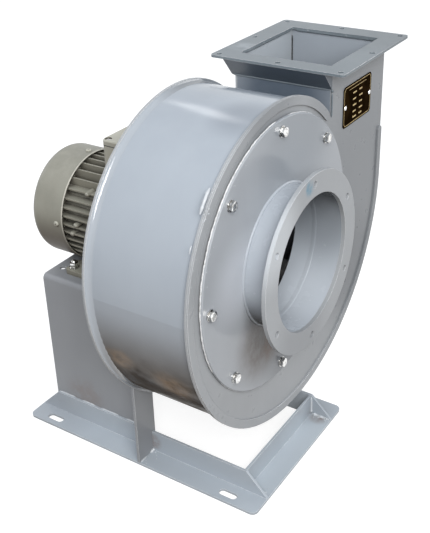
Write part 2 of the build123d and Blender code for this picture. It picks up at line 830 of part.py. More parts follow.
# The rear shield also carries the lugs that the fan cowl is screwed to
lug_inner_r = shield_r - lug_root
lug_outer_r = cowl_r - cowl_sheet - fit_gap
cowl_screw_x = rear_shield_x + shield_thickness / 2
cowl_screw_turns = [quarter_turn * turn for turn in range(cowl_screw_count)]
cowl_screw_planes = []
for turn in cowl_screw_turns:
    way = Vector(0, 1, 0).rotate(Axis.X, turn)
    seat = Vector(cowl_screw_x, 0, shaft_z) + cowl_r * way
    cowl_screw_planes.append(Plane(origin=seat, x_dir=(1, 0, 0), z_dir=way))
rear_shield = end_shield(frame_rear_x, -1)
with BuildPart() as rear_end_shield:
    add(rear_shield.part)
    with BuildSketch(across_shaft(rear_shield_x)):
        for turn in cowl_screw_turns:
            with PolarLocations((lug_inner_r + cowl_r) / 2, 1, start_angle=turn):
                Rectangle(cowl_r - lug_inner_r, lug_width)
    extrude(amount=shield_thickness)
    with BuildSketch(across_shaft(rear_shield_x)):
        Circle(2 * cowl_r)
        Circle(lug_outer_r, mode=Mode.SUBTRACT)
    extrude(amount=shield_thickness, mode=Mode.SUBTRACT)
    for screw_plane in cowl_screw_planes:
        with BuildSketch(screw_plane):
            Circle(m5_r + fit_gap)
        extrude(amount=-lug_depth - cowl_sheet, mode=Mode.SUBTRACT)
save(rear_end_shield, "rear_end_shield")

shield_spots = polar_spots(shield_screw_circle_r, shield_screw_count, screw_turn)
shield_screw_reach = shield_thickness + m5_reach
drive_screw_seat = across_shaft(frame_front_x + shield_thickness)
save(round_screws(drive_screw_seat, shield_spots, m5_head_r, m5_head_height, m5_r, shield_screw_reach),
     "drive_shield_screws")
rear_screw_seat = Plane(origin=(rear_shield_x, 0, shaft_z), x_dir=(0, 1, 0), z_dir=(-1, 0, 0))
save(round_screws(rear_screw_seat, shield_spots, m5_head_r, m5_head_height, m5_r, shield_screw_reach),
     "rear_shield_screws")
save(ring_part(boss_front_x - seal_width, seal_width, seal_r - fit_gap, bearing_bore_r + seal_gap),
     "shaft_seal")

# Finned motor housing with cast feet and the seat of the terminal box
box_x = frame_front_x - box_centre_from_front
box_seat_z = shaft_z + box_seat_from_shaft
foot_middle_y = foot_outer_y - foot_width / 2
foot_inner_y = foot_outer_y - foot_width
foot_length = foot_hole_spacing_x + 2 * foot_overhang
foot_front_x = foot_hole_x + foot_length / 2
foot_spots = [(foot_hole_x + end * foot_hole_spacing_x / 2, side * foot_hole_spacing_y / 2)
              for end in (-1, 1) for side in (-1, 1)]
with BuildPart() as motor_housing:
    with BuildSketch(across_shaft(frame_rear_x)):
        Circle(frame_r)
        for step in range(-fins_beside_middle, fins_beside_middle + 1):
            fin_level = step * fin_pitch
            fin_span = 2 * sqrt(fin_tip_r ** 2 - fin_level ** 2)
            with Locations((0, fin_level)):
                Rectangle(fin_span, fin_thickness)
            with Locations((fin_level, 0)):
                Rectangle(fin_thickness, fin_span)
    extrude(amount=frame_length)
    with BuildSketch(Plane.XY.offset(box_seat_z)):
        with Locations((box_x, 0)):
            RectangleRounded(box_length - 2 * box_seat_inset, box_width - 2 * box_seat_inset, box_corner_r)
    extrude(amount=-box_seat_depth)
    with BuildSketch(Plane.XY.offset(pedestal_top_z)):
        for side in (-1, 1):
            with Locations((foot_hole_x, side * foot_middle_y)):
                RectangleRounded(foot_length, foot_width, foot_corner_r)
    extrude(amount=foot_thickness)
    web_rear_x = cowl_front_x + foot_web_gap
    with BuildSketch(Plane.XY.offset(foot_top_z)):
        for side in (-1, 1):
            with Locations(((web_rear_x + foot_front_x) / 2, side * (foot_inner_y + foot_web / 2))):
                Rectangle(foot_front_x - web_rear_x, foot_web)
    extrude(amount=shaft_height - foot_thickness - sqrt(frame_bore_r ** 2 - foot_inner_y ** 2))
    with BuildSketch(across_shaft(frame_rear_x)):
        Circle(frame_bore_r)
    extrude(amount=frame_length, mode=Mode.SUBTRACT)
    with BuildSketch(Plane.XY.offset(pedestal_top_z)):
        with Locations(*foot_spots):
            Circle(foot_hole_d / 2)
    extrude(amount=foot_thickness, mode=Mode.SUBTRACT)
    with BuildSketch(across_shaft(frame_front_x)):
        with PolarLocations(shield_screw_circle_r, shield_screw_count, start_angle=screw_turn):
            Circle(m5_r + fit_gap)
    extrude(amount=-m5_reach, mode=Mode.SUBTRACT)
    with BuildSketch(across_shaft(frame_rear_x)):
        with PolarLocations(shield_screw_circle_r, shield_screw_count, start_angle=screw_turn):
            Circle(m5_r + fit_gap)
    extrude(amount=m5_reach, mode=Mode.SUBTRACT)
    with BuildSketch(Plane.XY.offset(box_seat_z)):
        with Locations((box_x, lead_hole_y)):
            Circle(lead_hole_r)
    extrude(amount=-box_seat_depth, mode=Mode.SUBTRACT)
save(motor_housing, "motor_housing")

# Cooling fan on the rear end of the shaft
with BuildPart() as cooling_fan:
    with BuildSketch(across_shaft(fan_rear_x)):
        Circle(cooling_fan_hub_r)
        with PolarLocations((cooling_fan_hub_r + cooling_fan_r) / 2, cooling_blade_count):
            Rectangle(cooling_fan_r - cooling_fan_hub_r + cooling_fan_sheet, cooling_fan_sheet)
    extrude(amount=cooling_fan_width)
    with BuildSketch(across_shaft(fan_front_x)):
        Circle(cooling_fan_r - cooling_fan_sheet)
    extrude(amount=-cooling_fan_sheet)
    with BuildSketch(across_shaft(fan_rear_x)):
        Circle(rear_shaft_r)
    extrude(amount=cooling_fan_width, mode=Mode.SUBTRACT)
save(cooling_fan, "cooling_fan")

# Fan cowl: a deep cup with slots in its back, screwed to the lugs of the rear shield
with BuildPart() as fan_cowl:
    with BuildSketch(across_shaft(cowl_back_x)):
        Circle(cowl_r)
    extrude(amount=cowl_length)
    fillet(fan_cowl.edges().group_by(Axis.X)[0], cowl_round)
    offset(amount=-cowl_sheet, openings=fan_cowl.faces().sort_by(Axis.X)[-1])
    with BuildSketch(across_shaft(cowl_back_x)):
        slot_span = cowl_slot_outer_r - cowl_slot_inner_r
        with PolarLocations((cowl_slot_inner_r + cowl_slot_outer_r) / 2, cowl_slot_count):
            SlotOverall(slot_span, cowl_slot_width)
    extrude(amount=cowl_sheet, mode=Mode.SUBTRACT)
    for screw_plane in cowl_screw_planes:
        with BuildSketch(screw_plane):
            Circle(m5_r + fit_gap)
        extrude(amount=-2 * cowl_sheet, mode=Mode.SUBTRACT)
save(fan_cowl, "fan_cowl")

with BuildPart() as cowl_screws:
    for screw_plane in cowl_screw_planes:
        with BuildSketch(screw_plane):
            Circle(m5_head_r)
        extrude(amount=m5_head_height)
        with BuildSketch(screw_plane):
            Circle(m5_r)
        extrude(amount=-lug_depth)
save(cowl_screws, "cowl_screws")

# Terminal box on top of the motor, with its lid, gasket, block and cable gland
box_top_z = shaft_z + box_top_from_shaft - lid_thickness - lid_gasket_sheet
lid_screw_half_x = box_length / 2 - lid_screw_inset
lid_screw_half_y = box_width / 2 - lid_screw_inset
lid_screw_spots = [(box_x + end * lid_screw_half_x, side * lid_screw_half_y)
                   for end in (-1, 1) for side in (-1, 1)]
gland_z = (box_seat_z + box_top_z) / 2
gland_seat = Plane(origin=(box_x, box_width / 2, gland_z), x_dir=(1, 0, 0), z_dir=(0, 1, 0))
with BuildPart() as terminal_box:
    with BuildSketch(Plane.XY.offset(box_seat_z)):
        with Locations((box_x, 0)):
            RectangleRounded(box_length, box_width, box_corner_r)
    extrude(amount=box_top_z - box_seat_z)
    with BuildSketch(Plane.XY.offset(box_seat_z + box_wall)):
        with Locations((box_x, 0)):
            RectangleRounded(box_length - 2 * box_wall, box_width - 2 * box_wall, box_corner_r - box_wall)
    extrude(amount=box_top_z - box_seat_z - box_wall, mode=Mode.SUBTRACT)
    with BuildSketch(Plane.XY.offset(box_seat_z)):
        with Locations(*lid_screw_spots):
            Rectangle(2 * lid_screw_inset, 2 * lid_screw_inset)
    extrude(amount=box_top_z - box_seat_z)
    with BuildSketch(Plane.XY.offset(box_seat_z)):
        with Locations((box_x, 0)):
            Rectangle(2 * box_length, 2 * box_width)
            RectangleRounded(box_length, box_width, box_corner_r, mode=Mode.SUBTRACT)
    extrude(amount=box_top_z - box_seat_z, mode=Mode.SUBTRACT)
    with BuildSketch(Plane.XY.offset(box_top_z)):
        with Locations(*lid_screw_spots):
            Circle(m5_r + fit_gap)
    extrude(amount=-m5_reach, mode=Mode.SUBTRACT)
    with BuildSketch(gland_seat):
        Circle(gland_r)
    extrude(amount=-box_wall, mode=Mode.SUBTRACT)
    with BuildSketch(Plane.XY.offset(box_seat_z)):
        with Locations((box_x, lead_hole_y)):
            Circle(lead_hole_r)
    extrude(amount=box_wall, mode=Mode.SUBTRACT)
save(terminal_box, "terminal_box")

with BuildPart() as lid_gasket:
    with BuildSketch(Plane.XY.offset(box_top_z)):
        with Locations((box_x, 0)):
            RectangleRounded(box_length, box_width, box_corner_r)
            RectangleRounded(box_length - 4 * lid_screw_inset, box_width - 4 * lid_screw_inset,
                             box_corner_r - box_wall, mode=Mode.SUBTRACT)
        with Locations(*lid_screw_spots):
            Circle(m5_r + fit_gap, mode=Mode.SUBTRACT)
    extrude(amount=lid_gasket_sheet)
save(lid_gasket, "lid_gasket")

lid_base_z = box_top_z + lid_gasket_sheet
with BuildPart() as terminal_box_lid:
    with BuildSketch(Plane.XY.offset(lid_base_z)):
        with Locations((box_x, 0)):
            RectangleRounded(box_length, box_width, box_corner_r)
    extrude(amount=lid_thickness)
    fillet(terminal_box_lid.edges().group_by(Axis.Z)[-1], lid_edge_r)
    with BuildSketch(Plane.XY.offset(lid_base_z + lid_thickness)):
        with Locations(*lid_screw_spots):
            Circle(m5_head_r + lid_pocket_gap)
    extrude(amount=-lid_pocket_depth, mode=Mode.SUBTRACT)
    with BuildSketch(Plane.XY.offset(lid_base_z)):
        with Locations(*lid_screw_spots):
            Circle(m5_r + fit_gap)
    extrude(amount=lid_thickness, mode=Mode.SUBTRACT)
save(terminal_box_lid, "terminal_box_lid")

lid_screw_seat = Plane.XY.offset(lid_base_z + lid_thickness - lid_pocket_depth)
lid_screw_reach = lid_thickness - lid_pocket_depth + lid_gasket_sheet + m5_reach
save(round_screws(lid_screw_seat, lid_screw_spots, m5_head_r, m5_head_height, m5_r, lid_screw_reach),
     "lid_screws")

with BuildPart() as cable_gland:
    with BuildSketch(gland_seat.offset(-box_wall)):
        Circle(gland_r - fit_gap)
    extrude(amount=box_wall)
    with BuildSketch(gland_seat):
        RegularPolygon(gland_hex / 2, hex_sides, major_radius=False)
    extrude(amount=gland_hex_length)
    with BuildSketch(gland_seat.offset(gland_hex_length)):
        Circle(gland_r)
    extrude(amount=gland_length - gland_hex_length)
    fillet(cable_gland.edges().group_by(Axis.Y)[-1], gland_dome_r)
    with BuildSketch(gland_seat.offset(-box_wall)):
        Circle(gland_bore_r)
    extrude(amount=gland_length + box_wall, mode=Mode.SUBTRACT)
save(cable_gland, "cable_gland")

block_top_z = box_seat_z + box_wall + terminal_block_height
with BuildPart() as terminal_block:
    with BuildSketch(Plane.XY.offset(box_seat_z + box_wall)):
        with Locations((box_x, 0)):
            Rectangle(terminal_block_length, terminal_block_width)
    extrude(amount=terminal_block_height)
    with BuildSketch(Plane.XY.offset(block_top_z)):
        with Locations((box_x, 0)):
            with GridLocations(stud_spacing_x, stud_spacing_y, 3, 2):
                Circle(stud_r)
    extrude(amount=stud_height)
save(terminal_block, "terminal_block")

# Foot bolts: heads under the pedestal sheet, washers and nuts on the motor feet
foot_nut_seat_z = foot_top_z + m8_washer_sheet
pedestal_under_z = pedestal_top_z - pedestal_sheet
foot_bolt_reach = foot_nut_seat_z - pedestal_under_z + m8_nut_height + foot_bolt_over_nut
foot_bolt_seat = Plane(origin=(0, 0, pedestal_under_z), x_dir=(1, 0, 0), z_dir=(0, 0, -1))
save(hex_bolts(foot_bolt_seat, foot_spots, m8_head, m8_head_height, m8_r, foot_bolt_reach), "foot_bolts")
save(washers(Plane.XY.offset(foot_top_z), foot_spots, m8_washer_r, m8_r + fit_gap, m8_washer_sheet),
     "foot_washers")
foot_nut_top = Plane.XY.offset(foot_nut_seat_z + m8_nut_height)
save(nuts(foot_nut_top, foot_spots, m8_head, m8_r + fit_gap, m8_nut_height), "foot_nuts")

# Motor pedestal: an inverted U of bent sheet with a flange turned out of each wall against the back plate
flange_top = -shaft_height - pedestal_flange_drop
with BuildPart() as motor_pedestal:
    with BuildSketch(across_shaft(pedestal_rear_x)):
        pedestal_bottom = pedestal_floor_gap - shaft_z
        inner_half = pedestal_half - pedestal_sheet
        with BuildLine():
            bend_r = pedestal_bend_r
            FilletPolyline((-pedestal_half, pedestal_bottom), (-pedestal_half, -shaft_height),
                           (pedestal_half, -shaft_height), (pedestal_half, pedestal_bottom), radius=bend_r)
            Line((pedestal_half, pedestal_bottom), (inner_half, pedestal_bottom))
            FilletPolyline((inner_half, pedestal_bottom), (inner_half, -shaft_height - pedestal_sheet),
                           (-inner_half, -shaft_height - pedestal_sheet), (-inner_half, pedestal_bottom),
                           radius=bend_r - pedestal_sheet)
            Line((-inner_half, pedestal_bottom), (-pedestal_half, pedestal_bottom))
        make_face()
    extrude(amount=pedestal_length)
    spare_x = foot_hole_x - foot_hole_spacing_x / 2 - spare_hole_step
    with BuildSketch(Plane.XY.offset(pedestal_under_z)):
        spare_y = foot_hole_spacing_y / 2
        with Locations(*foot_spots, (spare_x, -spare_y), (spare_x, spare_y)):
            Circle(foot_hole_d / 2)
    extrude(amount=pedestal_sheet, mode=Mode.SUBTRACT)
    with BuildSketch(across_shaft(back_x - pedestal_sheet)):
        flange_half = base_half - inner_half
        for side in (-1, 1):
            with Locations((side * (inner_half + base_half) / 2, (flange_top + angle_sheet - shaft_z) / 2)):
                Rectangle(flange_half, flange_top - angle_sheet + shaft_z)
            notch_z = (angle_leg + angle_sheet) / 2 - shaft_z
            with Locations((side * (pedestal_half + angle_sheet / 2), notch_z)):
                Rectangle(angle_sheet + 2 * fit_gap, angle_leg - angle_sheet + 2 * fit_gap,
                          mode=Mode.SUBTRACT)
    extrude(amount=pedestal_sheet)
save(motor_pedestal, "motor_pedestal")


def angle_rail(side):
    """Angle rail on one side: its flat leg points outwards and holds the slots, its wall stands inside."""
    with BuildPart() as rail:
        with BuildSketch(Plane.XY):
            with Locations(((rail_front_x + rail_rear_x) / 2, side * (base_half - angle_leg / 2))):
                Rectangle(rail_length, angle_leg)
        extrude(amount=angle_sheet)
        outer_face = rail.faces().sort_by(Axis.Y)[0 if side < 0 else -1]
        fillet(outer_face.edges().filter_by(Axis.Z), rail_corner_r)
        with BuildSketch(Plane.XZ.offset(-side * (pedestal_half + angle_sheet / 2))):
            with BuildLine():
                Polyline((rail_rear_x, angle_sheet), (rail_rear_x + angle_leg - angle_sheet, angle_leg),
                         (rail_front_x - angle_leg + angle_sheet, angle_leg), (rail_front_x, angle_sheet),
                         close=True)
            make_face()
        extrude(amount=angle_sheet / 2, both=True)
        with BuildSketch(Plane.XY):
            for end in (-1, 1):
                with Locations((end * slot_spacing_x / 2, side * slot_spacing_y / 2)):
                    SlotOverall(slot_length, slot_width)
        extrude(amount=angle_sheet, mode=Mode.SUBTRACT)
    return rail


save(angle_rail(-1), "base_rail_left")
save(angle_rail(1), "base_rail_right")

# Front cross bar: the same angle, laid across between the rails
bar_rear_x = rail_front_x - angle_leg
with BuildPart() as front_cross_bar:
    with BuildSketch(Plane.XZ.offset(-pedestal_half)):
        with BuildLine():
            Polyline((bar_rear_x, 0), (rail_front_x, 0), (rail_front_x, angle_sheet),
                     (bar_rear_x + angle_sheet, angle_sheet), (bar_rear_x + angle_sheet, angle_leg),
                     (bar_rear_x, angle_leg), close=True)
        make_face()
    extrude(amount=2 * pedestal_half)
save(front_cross_bar, "front_cross_bar")
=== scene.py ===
# %% [markdown]
# # A centrifugal fan, dressed
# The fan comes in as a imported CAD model: a painted scroll housing, an inlet with its flange, a wheel on the
# motor's shaft, and a welded base. This lesson gives each piece its surface, and adds the small things that
# sheet metal work leaves behind: weld beads, spatter, bolt heads, rivets and grime.
# All sizes are in metres, in the CAD's own frame, so a piece goes where the CAD says.

# %% Load the frame
import math
import random

import bmesh
import bpy
from mathutils import Matrix, Vector


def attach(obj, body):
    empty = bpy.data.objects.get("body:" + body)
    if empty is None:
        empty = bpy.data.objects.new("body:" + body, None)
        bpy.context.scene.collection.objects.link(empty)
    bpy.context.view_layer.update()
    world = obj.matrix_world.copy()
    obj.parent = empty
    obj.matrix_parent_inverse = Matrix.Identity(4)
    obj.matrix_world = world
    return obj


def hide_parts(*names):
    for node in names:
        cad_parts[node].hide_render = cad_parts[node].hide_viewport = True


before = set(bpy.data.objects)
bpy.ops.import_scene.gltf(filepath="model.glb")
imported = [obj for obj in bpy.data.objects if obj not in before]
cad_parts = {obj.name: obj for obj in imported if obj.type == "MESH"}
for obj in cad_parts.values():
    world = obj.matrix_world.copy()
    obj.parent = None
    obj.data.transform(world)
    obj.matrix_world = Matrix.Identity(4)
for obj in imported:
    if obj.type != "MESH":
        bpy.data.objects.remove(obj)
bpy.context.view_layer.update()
random.seed(7)
SHAFT_Z = 0.355

# %% [markdown]
# ## The camera
# The camera was fitted to the photograph's circles, corners and holes. It stands in front of the inlet, to
# its left and above it. A small vertical shift keeps the view's centre where the photograph has it. Tilting
# the camera instead would bend the upright edges.

# %% Camera
IMAGE_W, IMAGE_H = 430, 533
SENSOR_MM = 24


def add_object(name, data):
    """A new object in the scene, for a mesh, a camera or a lamp."""
    made = bpy.data.objects.new(name, data)
    bpy.context.scene.collection.objects.link(made)
    return made


def make_camera(place, turn, tilt, roll, focal_px, centre_px):
    """A camera from a fit in pixels: turn is measured from +X towards -Y, tilt is up from level."""
    a, e, r = (math.radians(v) for v in (turn, tilt, roll))
    back = Vector((math.cos(a) * math.cos(e), -math.sin(a) * math.cos(e), math.sin(e)))
    right = Vector((math.sin(a), math.cos(a), 0))
    up = back.cross(right)
    right, up = right * math.cos(r) + up * math.sin(r), up * math.cos(r) - right * math.sin(r)
    data = bpy.data.cameras.new("photo_camera")
    data.sensor_fit = "VERTICAL"
    data.sensor_height = SENSOR_MM
    data.lens = focal_px / IMAGE_H * SENSOR_MM
    data.shift_x = (IMAGE_W / 2 - centre_px[0]) / IMAGE_H
    data.shift_y = (centre_px[1] - IMAGE_H / 2) / IMAGE_H
    data.clip_end = 50
    camera = add_object("photo_camera", data)
    camera.matrix_world = Matrix.Translation(place) @ Matrix((right, up, back)).transposed().to_4x4()
    bpy.context.scene.camera = camera
    return camera


camera = make_camera((0.7239, -0.9646, 0.9658), 56.026, 26.49, -1.957, 894.98, (212.68, 215.98))
print("camera lens", round(camera.data.lens, 1), "mm")

# %% [markdown]
# ## Sockets that do arithmetic
# A shader is a graph, but most of what it computes is plain arithmetic. `Val` wraps one output socket, so a
# material can be written as an expression, and each `+` or `*` adds the right node. Colours are mixed with
# `blend`, whole shaders with `mix_shaders`, and every other node comes through the one method `node`.


# %% Sockets as Python values
class Val:
    """A number that comes from a shader socket of a graph."""

    def __init__(self, graph, socket):
        self.graph = graph
        self.socket = socket

    def _math(self, operation, *values):
        made = self.graph.node("ShaderNodeMath", dict(enumerate(values)), operation=operation)
        return Val(self.graph, made.outputs[0])

    def __add__(self, other): return self._math("ADD", self, other)
    def __radd__(self, other): return self._math("ADD", other, self)
    def __rsub__(self, other): return self._math("SUBTRACT", other, self)
    def __mul__(self, other): return self._math("MULTIPLY", self, other)
    def highest(self, other): return self._math("MAXIMUM", self, other)

    def ramp(self, low, high, out_low=0.0, out_high=1.0):
        """Goes smoothly from out_low to out_high while this value goes from low to high."""
        sockets = {"Value": self, "From Min": low, "From Max": high, "To Min": out_low, "To Max": out_high}
        made = self.graph.node("ShaderNodeMapRange", sockets, interpolation_type="SMOOTHSTEP", clamp=True)
        return Val(self.graph, made.outputs["Result"])


# %% [markdown]
# ## Graphs and their patterns
# A material and the world both own a node tree, and a `Graph` adds nodes to it. `Mat` is the graph of a
# material, with the patterns that the finishes share: clouds, specks, sharp edges and deep corners, which
# carry dirt, rubbing and painted light and shade, and how far a surface looks up. They could be node groups,
# but functions are shorter and can be read here.


# %% Graphs and materials
class Graph:
    """A node tree under construction, of a material or of the world."""

    def __init__(self, tree):
        self.tree = tree

    def put(self, slot, value):
        """A socket takes a Val, a number or a colour."""
        if isinstance(value, Val):
            self.tree.links.new(value.socket, slot)
        elif isinstance(value, (tuple, list)) and len(value) == 3 and slot.type == "RGBA":
            slot.default_value = (*value, 1)
        else:
            slot.default_value = value

    def node(self, kind, sockets=None, **settings):
        """A new node. Its settings are set first, then the values or links of its sockets."""
        made = self.tree.nodes.new(kind)
        for key, value in settings.items():
            setattr(made, key, value)
        for key, value in (sockets or {}).items():
            self.put(made.inputs[key], value)
        return made

    def blend(self, factor, first, second):
        """first where the factor is 0, second where it is 1."""
        made = self.node("ShaderNodeMix", {0: factor, 6: first, 7: second}, data_type="RGBA")
        return Val(self, made.outputs[2])

    def mix_shaders(self, factor, first, second, output="Material Output"):
        """Sends to the output the first shader where the factor is 0, and the second where it is 1."""
        made = self.node("ShaderNodeMixShader", {0: factor, 1: Val(self, first.outputs[0]),
                                                 2: Val(self, second.outputs[0])})
        self.put(self.tree.nodes[output].inputs["Surface"], Val(self, made.outputs[0]))


class Mat(Graph):
    """A material under construction, with the patterns that the finishes share."""

    def __init__(self, name):
        self.material = bpy.data.materials.new(name)
        self.material.use_nodes = True
        super().__init__(self.material.node_tree)
        self.shader = self.tree.nodes["Principled BSDF"]

    def place(self):
        """The point on the object, in metres, in the CAD's frame."""
        return Val(self, self.node("ShaderNodeTexCoord").outputs["Object"])

    def facing(self, which):
        """How much the surface faces along a world axis, from -1 to 1."""
        geometry = self.node("ShaderNodeNewGeometry")
        parts = self.node("ShaderNodeSeparateXYZ", {"Vector": Val(self, geometry.outputs["Normal"])})
        return Val(self, parts.outputs[which])

    def noise(self, scale, detail=3.0, rough=0.55, stretch=(1, 1, 1), shift=(0, 0, 0)):
        """Cloudy noise from 0 to 1, with about `scale` blobs to the metre."""
        mapped = self.node("ShaderNodeMapping", {"Vector": self.place(), "Scale": stretch, "Location": shift})
        made = self.node("ShaderNodeTexNoise", {"Vector": Val(self, mapped.outputs[0]), "Scale": scale,
                                                "Detail": detail, "Roughness": rough})
        return Val(self, made.outputs[0])

    def specks(self, scale, size, shift=(0, 0, 0)):
        """Scattered round specks: 1 inside a speck, 0 outside."""
        mapped = self.node("ShaderNodeMapping", {"Vector": self.place(), "Location": shift})
        made = self.node("ShaderNodeTexVoronoi", {"Vector": Val(self, mapped.outputs[0]), "Scale": scale})
        return Val(self, made.outputs["Distance"]).ramp(size, size * 0.6)

    def edges(self, radius):
        """1 on sharp outer edges and 0 on flats, from how far rounding would turn the normal."""
        geometry = self.node("ShaderNodeNewGeometry")
        rounded = self.node("ShaderNodeBevel", {"Radius": radius}, samples=4)
        dot = self.node("ShaderNodeVectorMath", {0: Val(self, geometry.outputs["Normal"]),
                                                 1: Val(self, rounded.outputs[0])}, operation="DOT_PRODUCT")
        return Val(self, dot.outputs["Value"]).ramp(0.98, 0.78)

    def crevice(self, reach):
        """1 deep in a corner and 0 in the open."""
        made = self.node("ShaderNodeAmbientOcclusion", {"Distance": reach}, samples=6)
        return 1.0 - Val(self, made.outputs["AO"])

    def near(self, spot, reach):
        """1 at a spot on the object, in metres, and 0 from `reach` away."""
        away = self.node("ShaderNodeVectorMath", {0: self.place(), 1: spot}, operation="DISTANCE")
        return Val(self, away.outputs["Value"]).ramp(reach, reach * 0.25)

    def bump(self, height, strength, depth, soften=0.0):
        """Relief from a height value. With soften above 0, sharp edges catch the light as rounded ones do."""
        sockets = {"Height": height, "Strength": strength, "Distance": depth}
        if soften:
            rounded = self.node("ShaderNodeBevel", {"Radius": soften}, samples=4)
            sockets["Normal"] = Val(self, rounded.outputs[0])
        self.set(Normal=Val(self, self.node("ShaderNodeBump", sockets).outputs[0]))

    def set(self, **sockets):
        for key, value in sockets.items():
            self.put(self.shader.inputs[key.replace("_", " ")], value)

    def dull_layer(self, factor, colour):
        """Lays a second, dull shader of the given colour over the first, to kill the gloss."""
        dull = self.node("ShaderNodeBsdfPrincipled",
                         {"Base Color": colour, "Roughness": 0.9, "Specular IOR Level": 0.0})
        self.mix_shaders(factor, self.shader, dull)


# %% [markdown]
# ## Paint on sheet metal
# Sprayed enamel over sheet is never one flat tone. Three things are layered here: a slow drift of the tone,
# the fine pebble of sprayed paint, and what happens in use, which is dust that settles on upward faces,
# dirt and painted shade in the corners, and edges that are rubbed and painted brighter as highlights. Then
# come the marks that belong to one place on this fan: rust and a pen mark, and fields of painted light and
# shade, among them a brown painted shadow with ground reflection under the inlet duct and painted ground
# reflection low on the wrap. Faces that look down are painted darker and browner, as shade and as the
# ground's reflection. There a second, dull shader also kills the gloss.


# %% The grey enamel
DUST, GRIME_AND_SHADE = (0.52, 0.53, 0.53), (0.070, 0.062, 0.052)
WORN_AND_HIGHLIGHT, CHIPPED, FRECKLE = (0.76, 0.77, 0.78), (0.10, 0.07, 0.05), (0.16, 0.13, 0.11)


def enamel(name, tone, deep, gloss=0.17, shine=0.35, edge_wear_and_highlight=0.8, chips=0.35, marks=(), under=None, dull_under=0.0):
    """Sprayed grey paint. tone is the main colour, deep the tone in the darker clouds.

    gloss is its roughness, shine how strongly it mirrors, wear how bright its edges are, which are rubbed and
    also painted brighter as highlights, chips how dark the chips in them. marks are stains and fields of
    painted light and shade: (spot, reach, colour, strength, evenness). under is painted shade and ground
    reflection on faces that look down: (where it starts, where it is full, colour, strength), both places as
    the height of the surface's normal. caking is how far a dull shader hides the gloss there.
    """
    mat = Mat(name)
    drift = mat.noise(5.5, 3.0, 0.5)
    streaks = mat.noise(9.0, 4.0, 0.6, stretch=(1.0, 1.0, 0.16), shift=(0.3, 0.1, 0.0))
    colour = mat.blend((drift * 0.7 + streaks * 0.45).ramp(0.42, 0.78), tone, deep)
    upward = mat.facing("Z").ramp(0.35, 1.0) * mat.noise(34.0, 4.0, 0.65).ramp(0.35, 0.75)
    colour = mat.blend(upward * 0.03, colour, DUST)
    # Dirt and painted shade in corners: the crevice mask darkens the hollows.
    grime_and_shade = mat.crevice(0.012) * mat.noise(60.0, 3.0, 0.6).ramp(0.3, 0.7, 0.35, 1.0)
    colour = mat.blend(grime_and_shade.ramp(0.35, 1.0) * 0.45, colour, GRIME_AND_SHADE)
    # Faces that look down are painted darker and browner: painted shade and ground reflection.
    if under:
        start, full, dirt, strength = under
        colour = mat.blend(mat.facing("Z").ramp(start, full) * strength, colour, dirt)
    # Edges are rubbed pale and also painted brighter as highlights.
    worn_and_highlit = mat.edges(0.0011)
    colour = mat.blend(worn_and_highlit * edge_wear_and_highlight, colour, WORN_AND_HIGHLIGHT)
    chip = worn_and_highlit * mat.specks(210.0, 0.32) * mat.noise(18.0).ramp(0.50, 0.62)
    colour = mat.blend(chip * chips, colour, CHIPPED)
    freckles = mat.specks(120.0, 0.045, shift=(0.7, 0.2, 0.4)) * mat.noise(7.0, 2.0).ramp(0.48, 0.62)
    colour = mat.blend(freckles * 0.16, colour, FRECKLE)
    # Marks are real stains, and also fields of painted light and shade.
    for spot, reach, stain_and_painted_light, strength, evenness in marks:
        cloud = mat.noise(45.0, 4.0, 0.65).ramp(0.32, 0.62, evenness, 1.0)
        colour = mat.blend(mat.near(spot, reach) * cloud * strength, colour, stain_and_painted_light)
    rough = gloss + mat.noise(46.0, 3.0) * 0.10 + upward * 0.05 + grime_and_shade * 0.2
    mat.set(Base_Color=colour, Roughness=rough, Specular_IOR_Level=shine)
    if under and dull_under:
        dull_patches = mat.noise(26.0, 4.0, 0.6).ramp(0.35, 0.65, 0.7, 1.0)
        mat.dull_layer(mat.facing("Z").ramp(start, full) * dull_patches * dull_under, colour)
    mat.bump(mat.noise(520.0, 2.0, 0.5) * 0.12 + mat.noise(12.0, 1.0) * 1.2, 0.45, 0.0005, soften=0.0009)
    return mat.material


# %% [markdown]
# ## The housing's and the base's tones
# The real fan's sheets differ a little in tone, because they were sprayed on different days, and each has its
# own marks, real stains as well as fields of painted light and shade. So each group of sheets gets its own
# enamel, and the skirt's much darker tone is painted shade. A mark's spot is a point on the fan.

# %% Enamels, piece by piece
# The first colour is rust. The second is a painted brown shadow with ground reflection under the inlet duct,
# and the third a painted reflection of the ground low on the wrap. SHADE is painted shade, INK a pen mark.
RUST, DUCT_SHADOW_BROWN, GROUND_REFLECTION_TAN = (0.17, 0.085, 0.04), (0.085, 0.062, 0.045), (0.30, 0.215, 0.140)
SHADE, INK = (0.075, 0.098, 0.130), (0.08, 0.22, 0.32)
WRAP = enamel(
    "wrap_enamel", (0.338, 0.374, 0.420), (0.308, 0.342, 0.386), gloss=0.09,
    # under is painted shade and ground reflection. The marks are painted shade under the outlet's skirt, then
    # low on the left a painted ground reflection, painted shade and another painted ground reflection, a
    # painted reflected stripe near the bottom, and painted shade near the rim's top.
    under=(0.10, -0.45, (0.096, 0.079, 0.062), 0.95), dull_under=0.92,
    marks=[((0.10, 0.158, 0.525), 0.13, SHADE, 0.92, 0.95),
           ((0.050, -0.200, 0.250), 0.032, GROUND_REFLECTION_TAN, 0.75, 0.3),
           ((0.075, -0.188, 0.228), 0.032, (0.045, 0.036, 0.030), 0.8, 0.6),
           ((0.131, -0.189, 0.228), 0.042, GROUND_REFLECTION_TAN, 0.75, 0.35),
           ((0.130, -0.125, 0.163), 0.045, GROUND_REFLECTION_TAN, 0.4, 0.1),
           ((0.155, -0.045, 0.572), 0.060, (0.215, 0.242, 0.278), 0.75, 1.0)])
